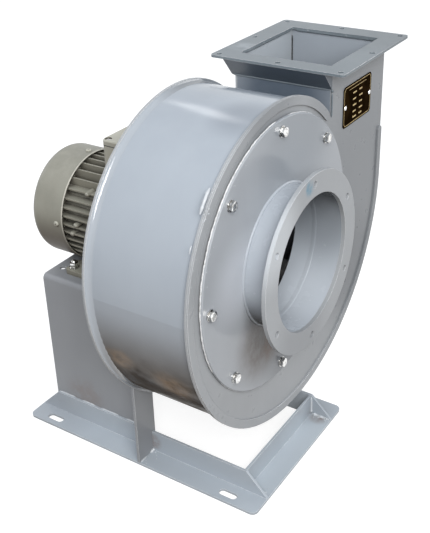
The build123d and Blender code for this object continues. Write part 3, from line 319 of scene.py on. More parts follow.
COVE = enamel(
    "cove_enamel", (0.330, 0.362, 0.402), (0.300, 0.330, 0.370), gloss=0.05, shine=0.9,
    # under and the mark on the cove's top are painted shade.
    under=(-0.1, -0.6, (0.080, 0.070, 0.060), 0.8),
    marks=[((0.015, 0.040, 0.570), 0.100, (0.150, 0.165, 0.182), 0.85, 1.0)])
PLATES = enamel(
    "side_plate_enamel", (0.335, 0.351, 0.369), (0.296, 0.310, 0.326), gloss=0.24, shine=0.25,
    # under is painted shade. The marks are painted shade on the front plate's right, top and lower right, and
    # painted light on the back plate inside the neck.
    under=(-0.1, -0.8, (0.15, 0.13, 0.11), 0.6),
    marks=[((0.182, 0.290, 0.370), 0.36, (0.192, 0.204, 0.219), 0.88, 1.0),
           ((0.182, -0.020, 0.585), 0.110, (0.205, 0.217, 0.232), 0.80, 1.0),
           ((0.182, 0.240, 0.222), 0.120, (0.150, 0.160, 0.174), 0.80, 1.0),
           ((0.021, 0.255, 0.560), 0.17, (0.44, 0.48, 0.52), 0.85, 1.0)])
COVER = enamel(
    "cover_enamel", (0.372, 0.394, 0.424), (0.336, 0.356, 0.384), gloss=0.15, shine=0.22,
    # The marks are painted shade above the duct, a painted reflection of the duct on its left, painted shade
    # low down, and a painted brown shadow with ground reflection under the duct, whose small rust-coloured
    # core is part of that painted shadow.
    marks=[((0.188, 0.045, 0.525), 0.15, (0.255, 0.278, 0.305), 0.75, 1.0),
           ((0.188, -0.112, 0.367), 0.085, (0.54, 0.57, 0.62), 0.75, 1.0),
           ((0.188, 0.050, 0.185), 0.16, (0.200, 0.212, 0.228), 0.85, 1.0),
           ((0.188, -0.058, 0.243), 0.080, DUCT_SHADOW_BROWN, 0.78, 0.75),
           ((0.188, -0.030, 0.225), 0.035, RUST, 0.5, 0.2)])
DUCT = enamel(
    "duct_enamel", (0.400, 0.434, 0.478), (0.372, 0.404, 0.448), gloss=0.2, edge_wear_and_highlight=0.0,
    # under is painted shade, inside the bore and under the duct. The marks are painted shade on the right and
    # painted light on the bore's lower right.
    under=(0.0, -0.75, (0.026, 0.025, 0.024), 0.95),
    marks=[((0.198, 0.095, 0.362), 0.075, (0.240, 0.264, 0.292), 0.85, 1.0),
           ((0.205, 0.045, 0.268), 0.060, (0.480, 0.520, 0.570), 0.7, 1.0)])
FLANGE = enamel(
    "flange_enamel", (0.345, 0.361, 0.379), (0.320, 0.335, 0.352), gloss=0.32, shine=0.2, chips=0.0,
    # The first mark is a real pen mark; then come painted shade low on the face and a painted highlight on
    # its left.
    marks=[((0.2385, -0.016, 0.4735), 0.015, INK, 0.9, 0.0),
           ((0.2385, -0.035, 0.245), 0.105, (0.260, 0.272, 0.288), 0.85, 1.0),
           ((0.2385, -0.108, 0.435), 0.085, (0.520, 0.550, 0.580), 0.85, 1.0)])
OUTLET = enamel(
    "outlet_enamel", (0.161, 0.189, 0.211), (0.142, 0.168, 0.189), gloss=0.25,
    # The marks are painted shade at the front right corner and a speckled painted highlight at the back left.
    marks=[((0.185, 0.337, 0.580), 0.110, (0.132, 0.155, 0.173), 0.8, 1.0),
           ((0.012, 0.195, 0.580), 0.030, (0.42, 0.46, 0.50), 0.35, 0.0)])
# The skirt's much darker tone is painted shade, for sheet that slopes down under the flange.
SHADED_SKIRT = enamel("skirt_shade_enamel", (0.110, 0.134, 0.165), (0.084, 0.104, 0.130), gloss=0.3)
PEDESTAL = enamel(
    "pedestal_enamel", (0.268, 0.278, 0.296), (0.238, 0.248, 0.264), gloss=0.3, chips=0.6,
    marks=[((-0.12, -0.102, 0.05), 0.05, RUST, 0.25, 0.0)])
RAILS = enamel(
    "rail_enamel", (0.392, 0.433, 0.476), (0.350, 0.388, 0.430), gloss=0.25, chips=0.7,
    # The rust marks are real; the two darker fields are painted shade, at the rear end and by the cross bar.
    marks=[((0.020, -0.102, 0.022), 0.018, RUST, 0.85, 0.1),
           ((0.020, 0.102, 0.022), 0.020, RUST, 0.6, 0.1),
           ((-0.190, -0.100, 0.004), 0.100, (0.315, 0.342, 0.375), 0.8, 1.0),
           ((0.190, 0.115, 0.020), 0.055, (0.290, 0.320, 0.355), 0.8, 1.0)])
CROSS_BAR = enamel(
    "cross_bar_enamel", (0.410, 0.455, 0.498), (0.372, 0.415, 0.458), gloss=0.25, chips=0.7,
    # The first mark is painted shade, shared with the rail; the rust is real.
    marks=[((0.190, 0.115, 0.020), 0.050, (0.290, 0.320, 0.355), 0.8, 1.0),
           ((0.205, 0.098, 0.012), 0.022, RUST, 0.6, 0.1)])
print("enamels", len([m for m in bpy.data.materials if m.name.endswith("enamel")]))

# %% [markdown]
# ## The motor's cast paint
# The motor came painted from its own maker: a warm grey on a cast body. Sand casting leaves a coarse pebble
# under the paint. Painted shade darkens the gaps between the fins and the faces that look down, which also
# turn browner, and edges are rubbed and painted brighter as highlights. The pressed cowl has the same paint
# on smooth sheet.


# %% Warm grey on casting and on the cowl
def motor_paint(name, tone, pebble):
    """Warm grey paint with painted shade, darker and browner, underneath. pebble is the casting's grain
    height, in metres.
    """
    mat = Mat(name)
    drift = mat.noise(16.0, 4.0, 0.6)
    colour = mat.blend(drift.ramp(0.35, 0.7), tone, tuple(v * 0.86 for v in tone))
    # Faces that look down are painted darker and browner: painted shade.
    colour = mat.blend(mat.facing("Z").ramp(0.30, -0.55) * 0.95, colour, (0.050, 0.032, 0.014))
    # Painted shade where the fins meet the body.
    shaded_roots = mat.crevice(0.014)
    colour = mat.blend(shaded_roots.ramp(0.25, 0.85) * 0.92, colour, (0.030, 0.026, 0.021))
    settled = mat.facing("Z").ramp(0.4, 1.0) * mat.noise(70.0, 4.0, 0.7).ramp(0.35, 0.7)
    colour = mat.blend(settled * 0.2, colour, (0.40, 0.38, 0.33))
    # Edges rubbed pale and painted brighter as highlights.
    worn_and_highlit = mat.edges(0.0008)
    colour = mat.blend(worn_and_highlit * 0.75, colour, (0.56, 0.54, 0.47))
    rough = 0.34 + mat.noise(80.0) * 0.14 + shaded_roots * 0.2
    mat.set(Base_Color=colour, Roughness=rough, Specular_IOR_Level=0.22)
    mat.bump(mat.noise(420.0, 3.0, 0.6) * 0.8 + mat.noise(90.0) * 0.5, 0.7, pebble, soften=0.0007)
    return mat.material


MOTOR_CAST = motor_paint("motor_cast_paint", (0.285, 0.278, 0.232), 0.0007)
MOTOR_SHEET = motor_paint("motor_sheet_paint", (0.270, 0.266, 0.228), 0.0002)
MOTOR_BOX = motor_paint("motor_box_paint", (0.450, 0.440, 0.378), 0.0002)
# The rolled edge's pale paint is a painted highlight.
MOTOR_EDGE_HIGHLIGHT = motor_paint("motor_edge_highlight_paint", (0.560, 0.545, 0.480), 0.0001)
MOTOR_SCREW = motor_paint("painted_screw", (0.480, 0.475, 0.410), 0.0001)
print("materials so far", len(bpy.data.materials))

# %% [markdown]
# ## Bare and plated metal
# Zinc plating on bolts is bright with a bluish or yellowish bloom. Turned steel keeps fine rings. Electrical
# sheet shows its layers along the shaft. One function gives all of them, with the colour and grain passed in.
# Hollows are darkened with dirt and painted shade, edges are painted brighter as highlights, and the zinc's
# faces that look to +Y and down get painted shade.


# %% Metals
def metal(name, bright, stained, rough, grain=(1, 1, 1), dirt=0.5, side_shade=0.0):
    """Bare or plated metal with a bloom of stains and a directed grain. tarnish is painted shade on +Y and
    lower faces.
    """
    mat = Mat(name)
    bloom = mat.noise(190.0, 4.0, 0.6).ramp(0.40, 0.66)
    colour = mat.blend(bloom, bright, stained)
    # Painted shade on the faces that look to +Y and down.
    if side_shade:
        shaded_side = mat.facing("Y").ramp(0.05, 0.6).highest(mat.facing("Z").ramp(-0.05, -0.6))
        colour = mat.blend(shaded_side * side_shade, colour, (0.06, 0.06, 0.06))
    # Hollows darken with dirt and painted shade.
    colour = mat.blend(mat.crevice(0.004).ramp(0.2, 0.9) * dirt, colour, (0.03, 0.028, 0.025))
    # Edges painted brighter as highlights.
    colour = mat.blend(mat.edges(0.0005) * 0.6, colour, tuple(min(1.0, v * 1.3) for v in bright))
    lines = mat.noise(300.0, 2.0, 0.5, stretch=grain)
    mat.set(Base_Color=colour, Metallic=1.0, Roughness=rough + bloom * 0.15 + lines * 0.08)
    mat.bump(lines, 0.4, 0.0001, soften=0.0003)
    return mat.material


# The zinc's strong darkening of hollows is dirt with painted shade, and its darker +Y and lower faces are
# painted shade.
ZINC = metal("zinc_plate", (0.84, 0.84, 0.83), (0.42, 0.41, 0.39), 0.10, dirt=0.97, side_shade=0.85)
STEEL = metal("turned_steel", (0.55, 0.55, 0.55), (0.38, 0.37, 0.36), 0.28, grain=(14, 1, 1))
LAMINATED = metal("laminated_steel", (0.35, 0.35, 0.36), (0.22, 0.22, 0.23), 0.42, grain=(20, 0.2, 0.2))
GILT = metal("gilt_foil", (0.55, 0.42, 0.20), (0.36, 0.26, 0.12), 0.35)
RIVET_METAL = metal("rivet_aluminium", (0.86, 0.86, 0.85), (0.60, 0.60, 0.59), 0.2)


def weld_metal():
    """Painted weld: the housing's grey over a rippled bead, with soot, and edges rubbed and painted bright as
    highlights.
    """
    mat = Mat("painted_weld")
    soot = mat.noise(120.0, 4.0, 0.7).ramp(0.4, 0.75)
    colour = mat.blend(soot * 0.45, (0.50, 0.53, 0.56), (0.26, 0.26, 0.26))
    # Edges rubbed pale and painted brighter as highlights.
    colour = mat.blend(mat.edges(0.0008) * 0.5, colour, WORN_AND_HIGHLIGHT)
    mat.set(Base_Color=colour, Roughness=0.22 + soot * 0.2)
    mat.bump(mat.noise(700.0, 3.0, 0.6), 0.5, 0.0003)
    return mat.material


def sealant():
    """White sealing paste squeezed out of a joint, wiped, a little dirty, and partly a painted highlight."""
    mat = Mat("white_sealant_highlight")
    dirt = mat.noise(160.0, 4.0, 0.7).ramp(0.45, 0.72)
    colour = mat.blend(dirt * 0.7, (0.68, 0.69, 0.70), (0.30, 0.30, 0.29))
    mat.set(Base_Color=colour, Roughness=0.42 + dirt * 0.2)
    mat.bump(mat.noise(420.0, 3.0, 0.6), 0.7, 0.0005)
    return mat.material


WELD = weld_metal()
SEALANT_AND_HIGHLIGHT = sealant()
print("materials so far", len(bpy.data.materials))

# %% [markdown]
# ## Dark pieces
# The wheel is black paint, the cooling fan and gland are moulded plastic, gaskets are rubber, and the
# windings are lacquered copper wire, whose turns show as fine lines.


# %% Dark materials
def dark(name, tone, rough, grain, height, coat=0.0, second=None, gloss=0.5):
    """Dark paint, plastic or rubber, with dust that settles on it. grain and height are its pebble."""
    mat = Mat(name)
    colour = mat.blend(mat.noise(40.0, 3.0).ramp(0.4, 0.7), tone, second or tuple(v * 1.6 for v in tone))
    settled = mat.facing("Z").ramp(0.3, 1.0) * mat.noise(90.0, 4.0, 0.7).ramp(0.4, 0.7)
    colour = mat.blend(settled * 0.3, colour, (0.28, 0.26, 0.23))
    # Edges painted lighter, as rubbing and as highlights.
    colour = mat.blend(mat.edges(0.0008) * 0.25, colour, tuple(min(1, v * 4) for v in tone))
    rough = rough + mat.noise(120.0) * 0.12
    mat.set(Base_Color=colour, Roughness=rough, Coat_Weight=coat, Specular_IOR_Level=gloss)
    mat.bump(mat.noise(grain, 2.0, 0.5), 0.5, height, soften=0.0005)
    return mat.material


WHEEL = dark("wheel_black_paint", (0.018, 0.019, 0.021), 0.32, 500.0, 0.0003, coat=0.2)
PLASTIC = dark("black_plastic", (0.020, 0.020, 0.021), 0.42, 900.0, 0.0001)
RUBBER = dark("black_rubber", (0.016, 0.016, 0.016), 0.68, 700.0, 0.0002)
HUB_IRON = dark("hub_cast_iron", (0.085, 0.083, 0.080), 0.50, 450.0, 0.0004)
LACQUER = dark("plate_brown_lacquer", (0.009, 0.005, 0.002), 0.5, 300.0, 0.0001, gloss=0.0,
               second=(0.020, 0.011, 0.004))


def winding():
    """Lacquered copper turns, lighter and darker by the wire."""
    mat = Mat("winding_copper")
    turns = mat.noise(900.0, 1.0, 0.5, stretch=(0.2, 1, 1))
    colour = mat.blend(turns.ramp(0.35, 0.65), (0.34, 0.13, 0.045), (0.20, 0.07, 0.025))
    mat.set(Base_Color=colour, Metallic=0.6, Roughness=0.32 + turns * 0.2, Coat_Weight=0.5)
    mat.bump(turns, 0.8, 0.0006)
    return mat.material


WINDING = winding()
print("materials so far", len(bpy.data.materials))

# %% [markdown]
# ## Each CAD node gets its material
# The nodes that stay as the CAD made them are listed by material. Nodes that get a modelled stand-in later,
# such as the bolts, still get one here, because other views may show them.

# %% Assign materials to CAD nodes
LOOKS = {
    WRAP: "scroll_wrap",
    PLATES: "front_side_plate back_side_plate front_rim_band shaft_seal_plate",
    DUCT: "inlet_duct inlet_cone",
    COVER: "inlet_cover_plate",
    FLANGE: "inlet_flange",
    OUTLET: "outlet_flange",
    SHADED_SKIRT: "outlet_skirt",
    PEDESTAL: "motor_pedestal",
    RAILS: "base_rail_left base_rail_right",
    CROSS_BAR: "front_cross_bar",
    MOTOR_CAST: "motor_housing drive_end_shield rear_end_shield",
    MOTOR_SHEET: "fan_cowl",
    MOTOR_BOX: "terminal_box terminal_box_lid",
    ZINC: "cover_bolts cover_washers cover_nuts foot_bolts foot_washers foot_nuts seal_plate_screws "
          "cowl_screws lid_screws drive_shield_screws rear_shield_screws hub_bolt hub_washer",
    STEEL: "motor_shaft hub_key hub_rivets drive_bearing_outer_ring drive_bearing_inner_ring "
           "rear_bearing_outer_ring rear_bearing_inner_ring",
    LAMINATED: "rotor_core stator_core",
    WHEEL: "impeller_back_plate impeller_shroud impeller_blades",
    HUB_IRON: "impeller_hub",
    PLASTIC: "cooling_fan cable_gland terminal_block",
    RUBBER: "cover_gasket lid_gasket shaft_seal",
    WINDING: "stator_windings",
    LACQUER: "name_plate",
    RIVET_METAL: "name_plate_rivets",
}
dressed = set()
for material, names in LOOKS.items():
    for name in names.split():
        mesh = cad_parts[name].data
        mesh.materials.clear()
        mesh.materials.append(material)
        dressed.add(name)
print("dressed", len(dressed), "left", sorted(set(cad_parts) - dressed))

# %% [markdown]
# ## Stacks of rings
# A bolt head, a washer, a rivet and a cap are all the same thing to a mesh: rings of points stacked along an
# axis. A ring's radius may change with the angle, and that turns a round head into a hexagon.


# %% Ring stacks
def basis(along):
    """Three square directions, the last of them along the given one."""
    z = Vector(along).normalized()
    x = z.orthogonal().normalized()
    return x, z.cross(x), z


def stack(bm, seat, along, rings, count=36, turn=0.0, closed=True):
    """Rings of (radius, height) about a seat point. radius and height may be functions of the angle."""
    x, y, z = basis(along)
    loops = []
    for radius, height in rings:
        loop = []
        for k in range(count):
            a = 2 * math.pi * k / count
            r = radius(a) if callable(radius) else radius
            h = height(a) if callable(height) else height
            spot = x * math.cos(a + turn) + y * math.sin(a + turn)
            loop.append(bm.verts.new(Vector(seat) + spot * r + z * h))
        loops.append(loop)
    for low, high in zip(loops, loops[1:]):
        for k in range(count):
            bm.faces.new((low[k], low[(k + 1) % count], high[(k + 1) % count], high[k]))
    if closed:
        bm.faces.new(list(reversed(loops[0])))
        bm.faces.new(loops[-1])


def hex_head(bm, seat, along, across, height, turn=0.0):
    """A chamfered hex head with a faint raised washer face under it and a shallow dish on top."""
    half = across / 2

    def corner(a):
        return half / math.cos((a + math.pi / 6) % (math.pi / 3) - math.pi / 6)

    def shoulder(a):
        return height - (corner(a) - half * 0.94) * 0.55

    rings = [(half * 0.97, 0.0), (half * 0.97, height * 0.05), (lambda a: corner(a) * 0.985, height * 0.06),
             (corner, height * 0.12), (corner, shoulder), (half * 0.93, height), (half * 0.66, height),
             (half * 0.60, height * 0.955), (half * 0.1, height * 0.955)]
    stack(bm, seat, along, rings, 48, turn)


def finish_mesh(name, bm, material, angle=35, body="housing"):
    """Turns a bmesh into a piece that rides on a body, smooth except over edges sharper than the angle."""
    bmesh.ops.recalc_face_normals(bm, faces=bm.faces)
    mesh = bpy.data.meshes.new(name)
    bm.to_mesh(mesh)
    bm.free()
    mesh.materials.append(material)
    for poly in mesh.polygons:
        poly.use_smooth = True
    mesh.set_sharp_from_angle(angle=math.radians(angle))
    piece = add_object(name, mesh)
    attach(piece, body)
    print(name, len(mesh.polygons), "faces")
    return piece


# %% [markdown]
# ## Cover bolts
# Eight zinc hex bolts hold the inlet cover. Each head is turned a little differently, as a spanner leaves it.
# Each piece here stands for the CAD's plain bolts, so it has the same shank behind the cover.

# %% Cover bolts
COVER_SEAT, COVER_BOLT_R, COVER_SHANK = 0.1896, 0.1835, 0.0192
M8_RADIUS, M8_ACROSS, M8_HEAD, M8_NUT = 0.004, 0.013, 0.0055, 0.0058
OUTWARD, UP, DOWN = (1, 0, 0), (0, 0, 1), (0, 0, -1)


def on_circle(x, radius, degrees):
    """A point on a circle round the shaft's line, at x."""
    a = math.radians(degrees)
    return Vector((x, radius * math.cos(a), SHAFT_Z + radius * math.sin(a)))


bm = bmesh.new()
for k in range(8):
    spot = on_circle(COVER_SEAT, COVER_BOLT_R, 45 * k)
    hex_head(bm, spot, OUTWARD, M8_ACROSS, M8_HEAD, random.uniform(0, 1))
    stack(bm, spot, OUTWARD, [(M8_RADIUS, -COVER_SHANK), (M8_RADIUS, 0.001)], 16)
bolts = finish_mesh("cover_bolt_set", bm, ZINC, angle=28)
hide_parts("cover_bolts")

# %% [markdown]
# ## Foot bolts
# The bolts come up through the pedestal and the motor's feet. On each stand a split spring washer and a nut,
# and the bolt's threaded end shows above the nut. A thread is cut as close rings with a ridge between them.

# %% Foot bolts, spring washers and nuts
FOOT_WASHER_TOP, PEDESTAL_UNDER = 0.2746, 0.261
THREAD_LOW, THREAD_TOP = 0.2806, 0.2850


def threaded(bm, seat, along, radius, low, high, pitch=0.00125):
    """A rod with ridges, from low to high along an axis, with a rounded end."""
    rings = []
    h = low
    while h < high:
        rings += [(radius, h), (radius * 0.88, h + pitch / 2)]
        h += pitch
    end = [(radius * 0.86, high), (radius * 0.55, high + radius * 0.25), (radius * 0.1, high + radius * 0.3)]
    stack(bm, seat, along, rings + end, 20)


def spring_washer(bm, seat, along, inner, outer, height):
    """A split ring whose two ends stand a little apart."""
    x, y, z = basis(along)
    loops = []
    for k in range(31):
        a = math.radians(6 + 348 * k / 30)
        way = x * math.cos(a) + y * math.sin(a)
        lift = z * height * 0.25 * k / 30
        corners = ((inner, 0), (outer, 0), (outer, height * 0.75), (inner, height * 0.75))
        loops.append([bm.verts.new(Vector(seat) + way * r + z * h + lift) for r, h in corners])
    for one, two in zip(loops, loops[1:]):
        for k in range(4):
            bm.faces.new((one[k], one[(k + 1) % 4], two[(k + 1) % 4], two[k]))
    bm.faces.new(list(reversed(loops[0])))
    bm.faces.new(loops[-1])


bm = bmesh.new()
for x in (-0.144, -0.044):
    for y in (-0.07, 0.07):
        spring_washer(bm, (x, y, FOOT_WASHER_TOP), UP, 0.0041, 0.0068, 0.002)
        hex_head(bm, (x, y, FOOT_WASHER_TOP + 0.0021), UP, M8_ACROSS, M8_NUT, random.uniform(0, 1))
        threaded(bm, (x, y, 0), UP, M8_RADIUS, THREAD_LOW, THREAD_TOP)
        stack(bm, (x, y, 0), UP, [(M8_RADIUS, PEDESTAL_UNDER - 0.001), (M8_RADIUS, THREAD_LOW)], 16)
        hex_head(bm, (x, y, PEDESTAL_UNDER), DOWN, M8_ACROSS, M8_HEAD, random.uniform(0, 1))
foot_set = finish_mesh("foot_bolt_set", bm, ZINC, angle=28)
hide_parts("foot_bolts", "foot_nuts")

# %% [markdown]
# ## Round-head screws
# The cowl, the terminal box lid, the seal plate and the end shields are held by small round-head screws with
# a cross recess. The recess is a ring whose radius swells in four directions.


# %% Screw sets
def cross_head(bm, seat, along, radius, height, shank, reach):
    """A domed head with a cross recess, and a shank that goes down as far as reach."""

    def cross(a):
        return radius * (0.16 + 0.36 * abs(math.cos(2 * a)) ** 3)

    rings = [(radius, 0.0), (radius, height * 0.35), (radius * 0.93, height * 0.62),
             (radius * 0.76, height * 0.86), (cross, height * 0.97),
             (lambda a: cross(a) * 0.8, height * 0.45), (radius * 0.04, height * 0.4)]
    stack(bm, seat, along, rings, 32, random.uniform(0, 1))
    stack(bm, seat, along, [(shank, -reach), (shank, height * 0.2)], 12)


def screw_set(name, node, spots, reach, look=ZINC):
    """spots are (seat, direction) pairs. The set stands for a CAD node of plain screws."""
    bm = bmesh.new()
    for seat, along in spots:
        cross_head(bm, seat, along, 0.0045, 0.003, 0.0025, reach)
    piece = finish_mesh(name, bm, look, angle=30)
    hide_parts(node)


def four_round(x, radius, way):
    """Four seats round the shaft's line, between its level and its upright, that face +X or -X."""
    return [(on_circle(x, radius, 45 + 90 * k), (way, 0, 0)) for k in range(4)]


COWL_R, COWL_SCREW_X = 0.088, -0.1535
BOX_X, LID_SEAT = -0.044, 0.487
cowl_spots = []
for degrees in (0, 90, 180):
    way = on_circle(0, 1, degrees) - Vector((0, 0, SHAFT_Z))
    cowl_spots.append((Vector((COWL_SCREW_X, 0, SHAFT_Z)) + way * COWL_R, way))
lid_spots = [((BOX_X + sx * 0.0345, sy * 0.038, LID_SEAT), UP) for sx in (-1, 1) for sy in (-1, 1)]
screw_set("cowl_screw_set", "cowl_screws", cowl_spots, 0.0098, look=MOTOR_SCREW)
screw_set("lid_screw_set", "lid_screws", lid_spots, 0.017)
screw_set("seal_screw_set", "seal_plate_screws", four_round(0.014, 0.055, -1), 0.0058)
screw_set("drive_screw_set", "drive_shield_screws", four_round(0.009, 0.068, 1), 0.0205)
screw_set("rear_screw_set", "rear_shield_screws", four_round(-0.158, 0.068, -1), 0.0205)

# %% [markdown]
# ## Weld beads
# A bead is the frozen track of a small molten pool: a tube half sunk in the joint, with a ripple at each step
# of the pool. One function lays it along any path, so the scroll, the duct and the base share it.


# %% Beads along a path
def along_path(points, step):
    """Evenly spaced points on a run of straight pieces."""
    points = [Vector(p) for p in points]
    out = [points[0]]
    left = step
    for one, two in zip(points, points[1:]):
        length = (two - one).length
        at = left
        while at <= length:
            out.append(one.lerp(two, at / length))
            at += step
        left = at - length
    return out


def bead(bm, points, radius, seed, ripple=0.10, pitch=0.0036, ragged=0.06, sides=8):
    """A tube along a path, tapered at both ends, with a ripple at each pitch and a ragged width."""
    rng = random.Random(seed)
    spots = along_path(points, pitch / 3)
    before = None
    loops = []
    for k, spot in enumerate(spots):
        tangent = (spots[min(k + 1, len(spots) - 1)] - spots[max(k - 1, 0)]).normalized()
        side = basis(tangent)[0] if before is None else (before - tangent * before.dot(tangent)).normalized()
        before = side
        up = tangent.cross(side)
        end = min(k, len(spots) - 1 - k) / 3
        swell = 1 + ripple * math.sin(2 * math.pi * k / 3 + 0.7) + rng.uniform(-ragged, ragged)
        size = radius * min(1.0, 0.35 + 0.65 * min(1, end)) * swell
        ways = [2 * math.pi * n / sides for n in range(sides)]
        loops.append([bm.verts.new(spot + (side * math.cos(a) + up * math.sin(a)) * size) for a in ways])
    for one, two in zip(loops, loops[1:]):
        for n in range(sides):
            bm.faces.new((one[n], one[(n + 1) % sides], two[(n + 1) % sides], two[n]))
    bm.faces.new(list(reversed(loops[0])))
    bm.faces.new(loops[-1])


def drop(bm, spot, along, radius):
    """A frozen droplet of spatter."""
    rings = [(radius, -radius * 0.3), (radius, radius * 0.15), (radius * 0.8, radius * 0.5),
             (radius * 0.4, radius * 0.72), (radius * 0.05, radius * 0.78)]
    stack(bm, spot, along, rings, 9)


def ring_path(x, radius, pieces=180):
    """A full circle round the shaft's line, at x."""
    return [on_circle(x, radius, 360.0 * k / pieces) for k in range(pieces + 1)]


# %% [markdown]
# ## The scroll's long joints
# The wrap is welded between the side plates, a little inside their edges, and the plates' lips stand out past
# it. The smooth bead in that corner is what catches the light along the whole back edge. Its path is the
# scroll line itself: four arcs that meet at the top, left and bottom, then the straight right wall.


# %% Wrap to side plates
SCROLL_START, WALL_Y, WALL_TOP = 44.0, 0.345, 0.570


def scroll_path(x, inset):
    """The scroll line at x, moved inwards, from its start angle round to the top of the right wall."""
    arcs = ((0.001, 0.017, 0.206, SCROLL_START, 90), (0.001, -0.005, 0.228, 90, 180),
            (0.056, -0.005, 0.283, 180, 270), (0.056, 0.001, 0.289, 270, 360))
    path = []
    for y, z, radius, first, last in arcs:
        count = max(2, round((last - first) / 2.5))
        for k in range(count + 1):
            a = math.radians(first + (last - first) * k / count)
            rim = radius - inset
            path.append(Vector((x, y + rim * math.cos(a), SHAFT_Z + z + rim * math.sin(a))))
    path.append(Vector((x, WALL_Y - inset, WALL_TOP)))
    return path


def cove(bm, section, path_at):
    """A strip with a given cross-section, swept along the scroll. section holds (x, inset) pairs."""
    lanes = [[bm.verts.new(p) for p in path_at(x, inset)] for x, inset in section]
    for one, two in zip(lanes, lanes[1:]):
        for k in range(len(one) - 1):
            bm.faces.new((one[k], one[k + 1], two[k + 1], two[k]))
    first, last = [lane[0] for lane in lanes], [lane[-1] for lane in lanes]
    bm.faces.new(first)
    bm.faces.new(list(reversed(last)))


LIP_X, COVE_END_X = 0.0199, 0.0322
OPEN_INSET, SUNK_INSET = 0.0008, 0.0066
bm = bmesh.new()
fillet = [(LIP_X, OPEN_INSET)]
for k in range(9):
    a = math.radians(90 * k / 8)
    fillet.append((COVE_END_X - 0.0118 * math.cos(a), 0.0062 - 0.0050 * (1 - math.sin(a))))
fillet += [(COVE_END_X, SUNK_INSET), (LIP_X, SUNK_INSET), (LIP_X, OPEN_INSET)]
cove(bm, fillet, scroll_path)
bmesh.ops.remove_doubles(bm, verts=bm.verts, dist=1e-6)
finish_mesh("back_lip_cove", bm, COVE, angle=60)
bm = bmesh.new()
bead(bm, scroll_path(0.1787, 0.0058), 0.0024, 4, ripple=0.03, pitch=0.012, ragged=0.03)
finish_mesh("front_lip_bead", bm, WRAP, angle=80)

# %% [markdown]
# ## Rim band welds
# The band on the front plate is tacked along its outer edge. Two tacks on the upper left are heavy enough to
# see from afar, and small droplets lie round them. The first tack's pale weld paint is also a painted
# highlight along the band's outer edge.

# %% Rim tacks and spatter
RIM_R, RIM_FACE = 0.2315, 0.1845


def spatter(bm, count, x, radii, degrees, sizes):
    """Droplets scattered over part of a ring, on a face that looks outward."""
    for k in range(count):
        spot = on_circle(x, random.uniform(*radii), random.uniform(*degrees))
        drop(bm, spot, OUTWARD, random.uniform(*sizes))


bm = bmesh.new()
for first, last, size, seed in ((134.5, 143.0, 0.0022, 11), (152.5, 155.0, 0.0013, 12)):
    tack = []
    for k in range(9):
        sag = 0.0006 * (k - 4) ** 2 / 16
        tack.append(on_circle(0.1800, RIM_R - sag, first + (last - first) * k / 8))
    bead(bm, tack, size, seed, ripple=0.08, pitch=0.006, ragged=0.12)
spatter(bm, 16, RIM_FACE, (0.219, RIM_R), (131, 147), (0.0005, 0.0011))
spatter(bm, 7, RIM_FACE, (0.219, 0.229), (150, 178), (0.0004, 0.0008))
finish_mesh("rim_tack_beads", bm, WELD, angle=70)

# %% [markdown]
# ## Sealing paste round the cover
# White paste was squeezed out of the joint under the cover and wiped off. It shows as a ragged pale line on
# the upper left, and it thins out to both sides. On the upper left that pale line is also a painted highlight
# along the cover's edge.

# %% Paste line
bm = bmesh.new()
for first, last, size, seed in ((93, 208, 0.0011, 21), (58, 84, 0.0007, 22), (218, 236, 0.0008, 23)):
    rng = random.Random(seed)
    path = []
    for degrees in range(first, last + 1):
        x = 0.1846 + rng.uniform(-0.0003, 0.0004)
        path.append(on_circle(x, 0.1998 + rng.uniform(-0.0001, 0.0003), degrees))
    bead(bm, path, size, seed, ripple=0.04, pitch=0.009, ragged=0.22)
spatter(bm, 12, 0.1880, (0.1915, 0.1985), (112, 175), (0.0003, 0.0006))
finish_mesh("cover_paste_highlight_line", bm, SEALANT_AND_HIGHLIGHT, angle=80)

# %% [markdown]
# ## Duct welds and the bore's joint
# The duct is welded to the cover and to its flange all the way round, and both beads are nearly smooth. In
# the bore, a thin ring in the duct's own paint lies over the cover's edge. It makes the joint flush, so that
# no line shows where two paints meet on a sharp edge.

# %% Duct beads and flush ring
DUCT_R, BORE_R, RING_X = 0.1032, 0.1004, 0.1815
bm = bmesh.new()
bead(bm, ring_path(0.1882, DUCT_R), 0.0026, 31, ripple=0.02, pitch=0.009, ragged=0.02)
bead(bm, ring_path(0.2323, DUCT_R), 0.0018, 32, ripple=0.03, ragged=0.03)
flush = [(BORE_R, 0.0), (0.09992, 0.0025), (0.09992, 0.0085), (0.10002, 0.0105), (BORE_R, 0.0108),
         (BORE_R, 0.0)]
stack(bm, (RING_X, 0, SHAFT_Z), OUTWARD, flush, 160, closed=False)
bmesh.ops.remove_doubles(bm, verts=bm.verts, dist=0.00001)
finish_mesh("duct_ring_beads", bm, DUCT, angle=80)

# %% [markdown]
# ## Outlet, neck and skirt welds
# The outlet's flange is welded to the neck twice. The outer beads are thin and rippled. The inner ones are
# smoother, with a few droplets, because they were laid from above. The skirt is joined along its top edge
# and up the neck's corner. Down the neck's far inner corner runs a thin dark line, a bead in black rubber.

# %% Outlet beads and neck seam
JOINT_Z = 0.5755
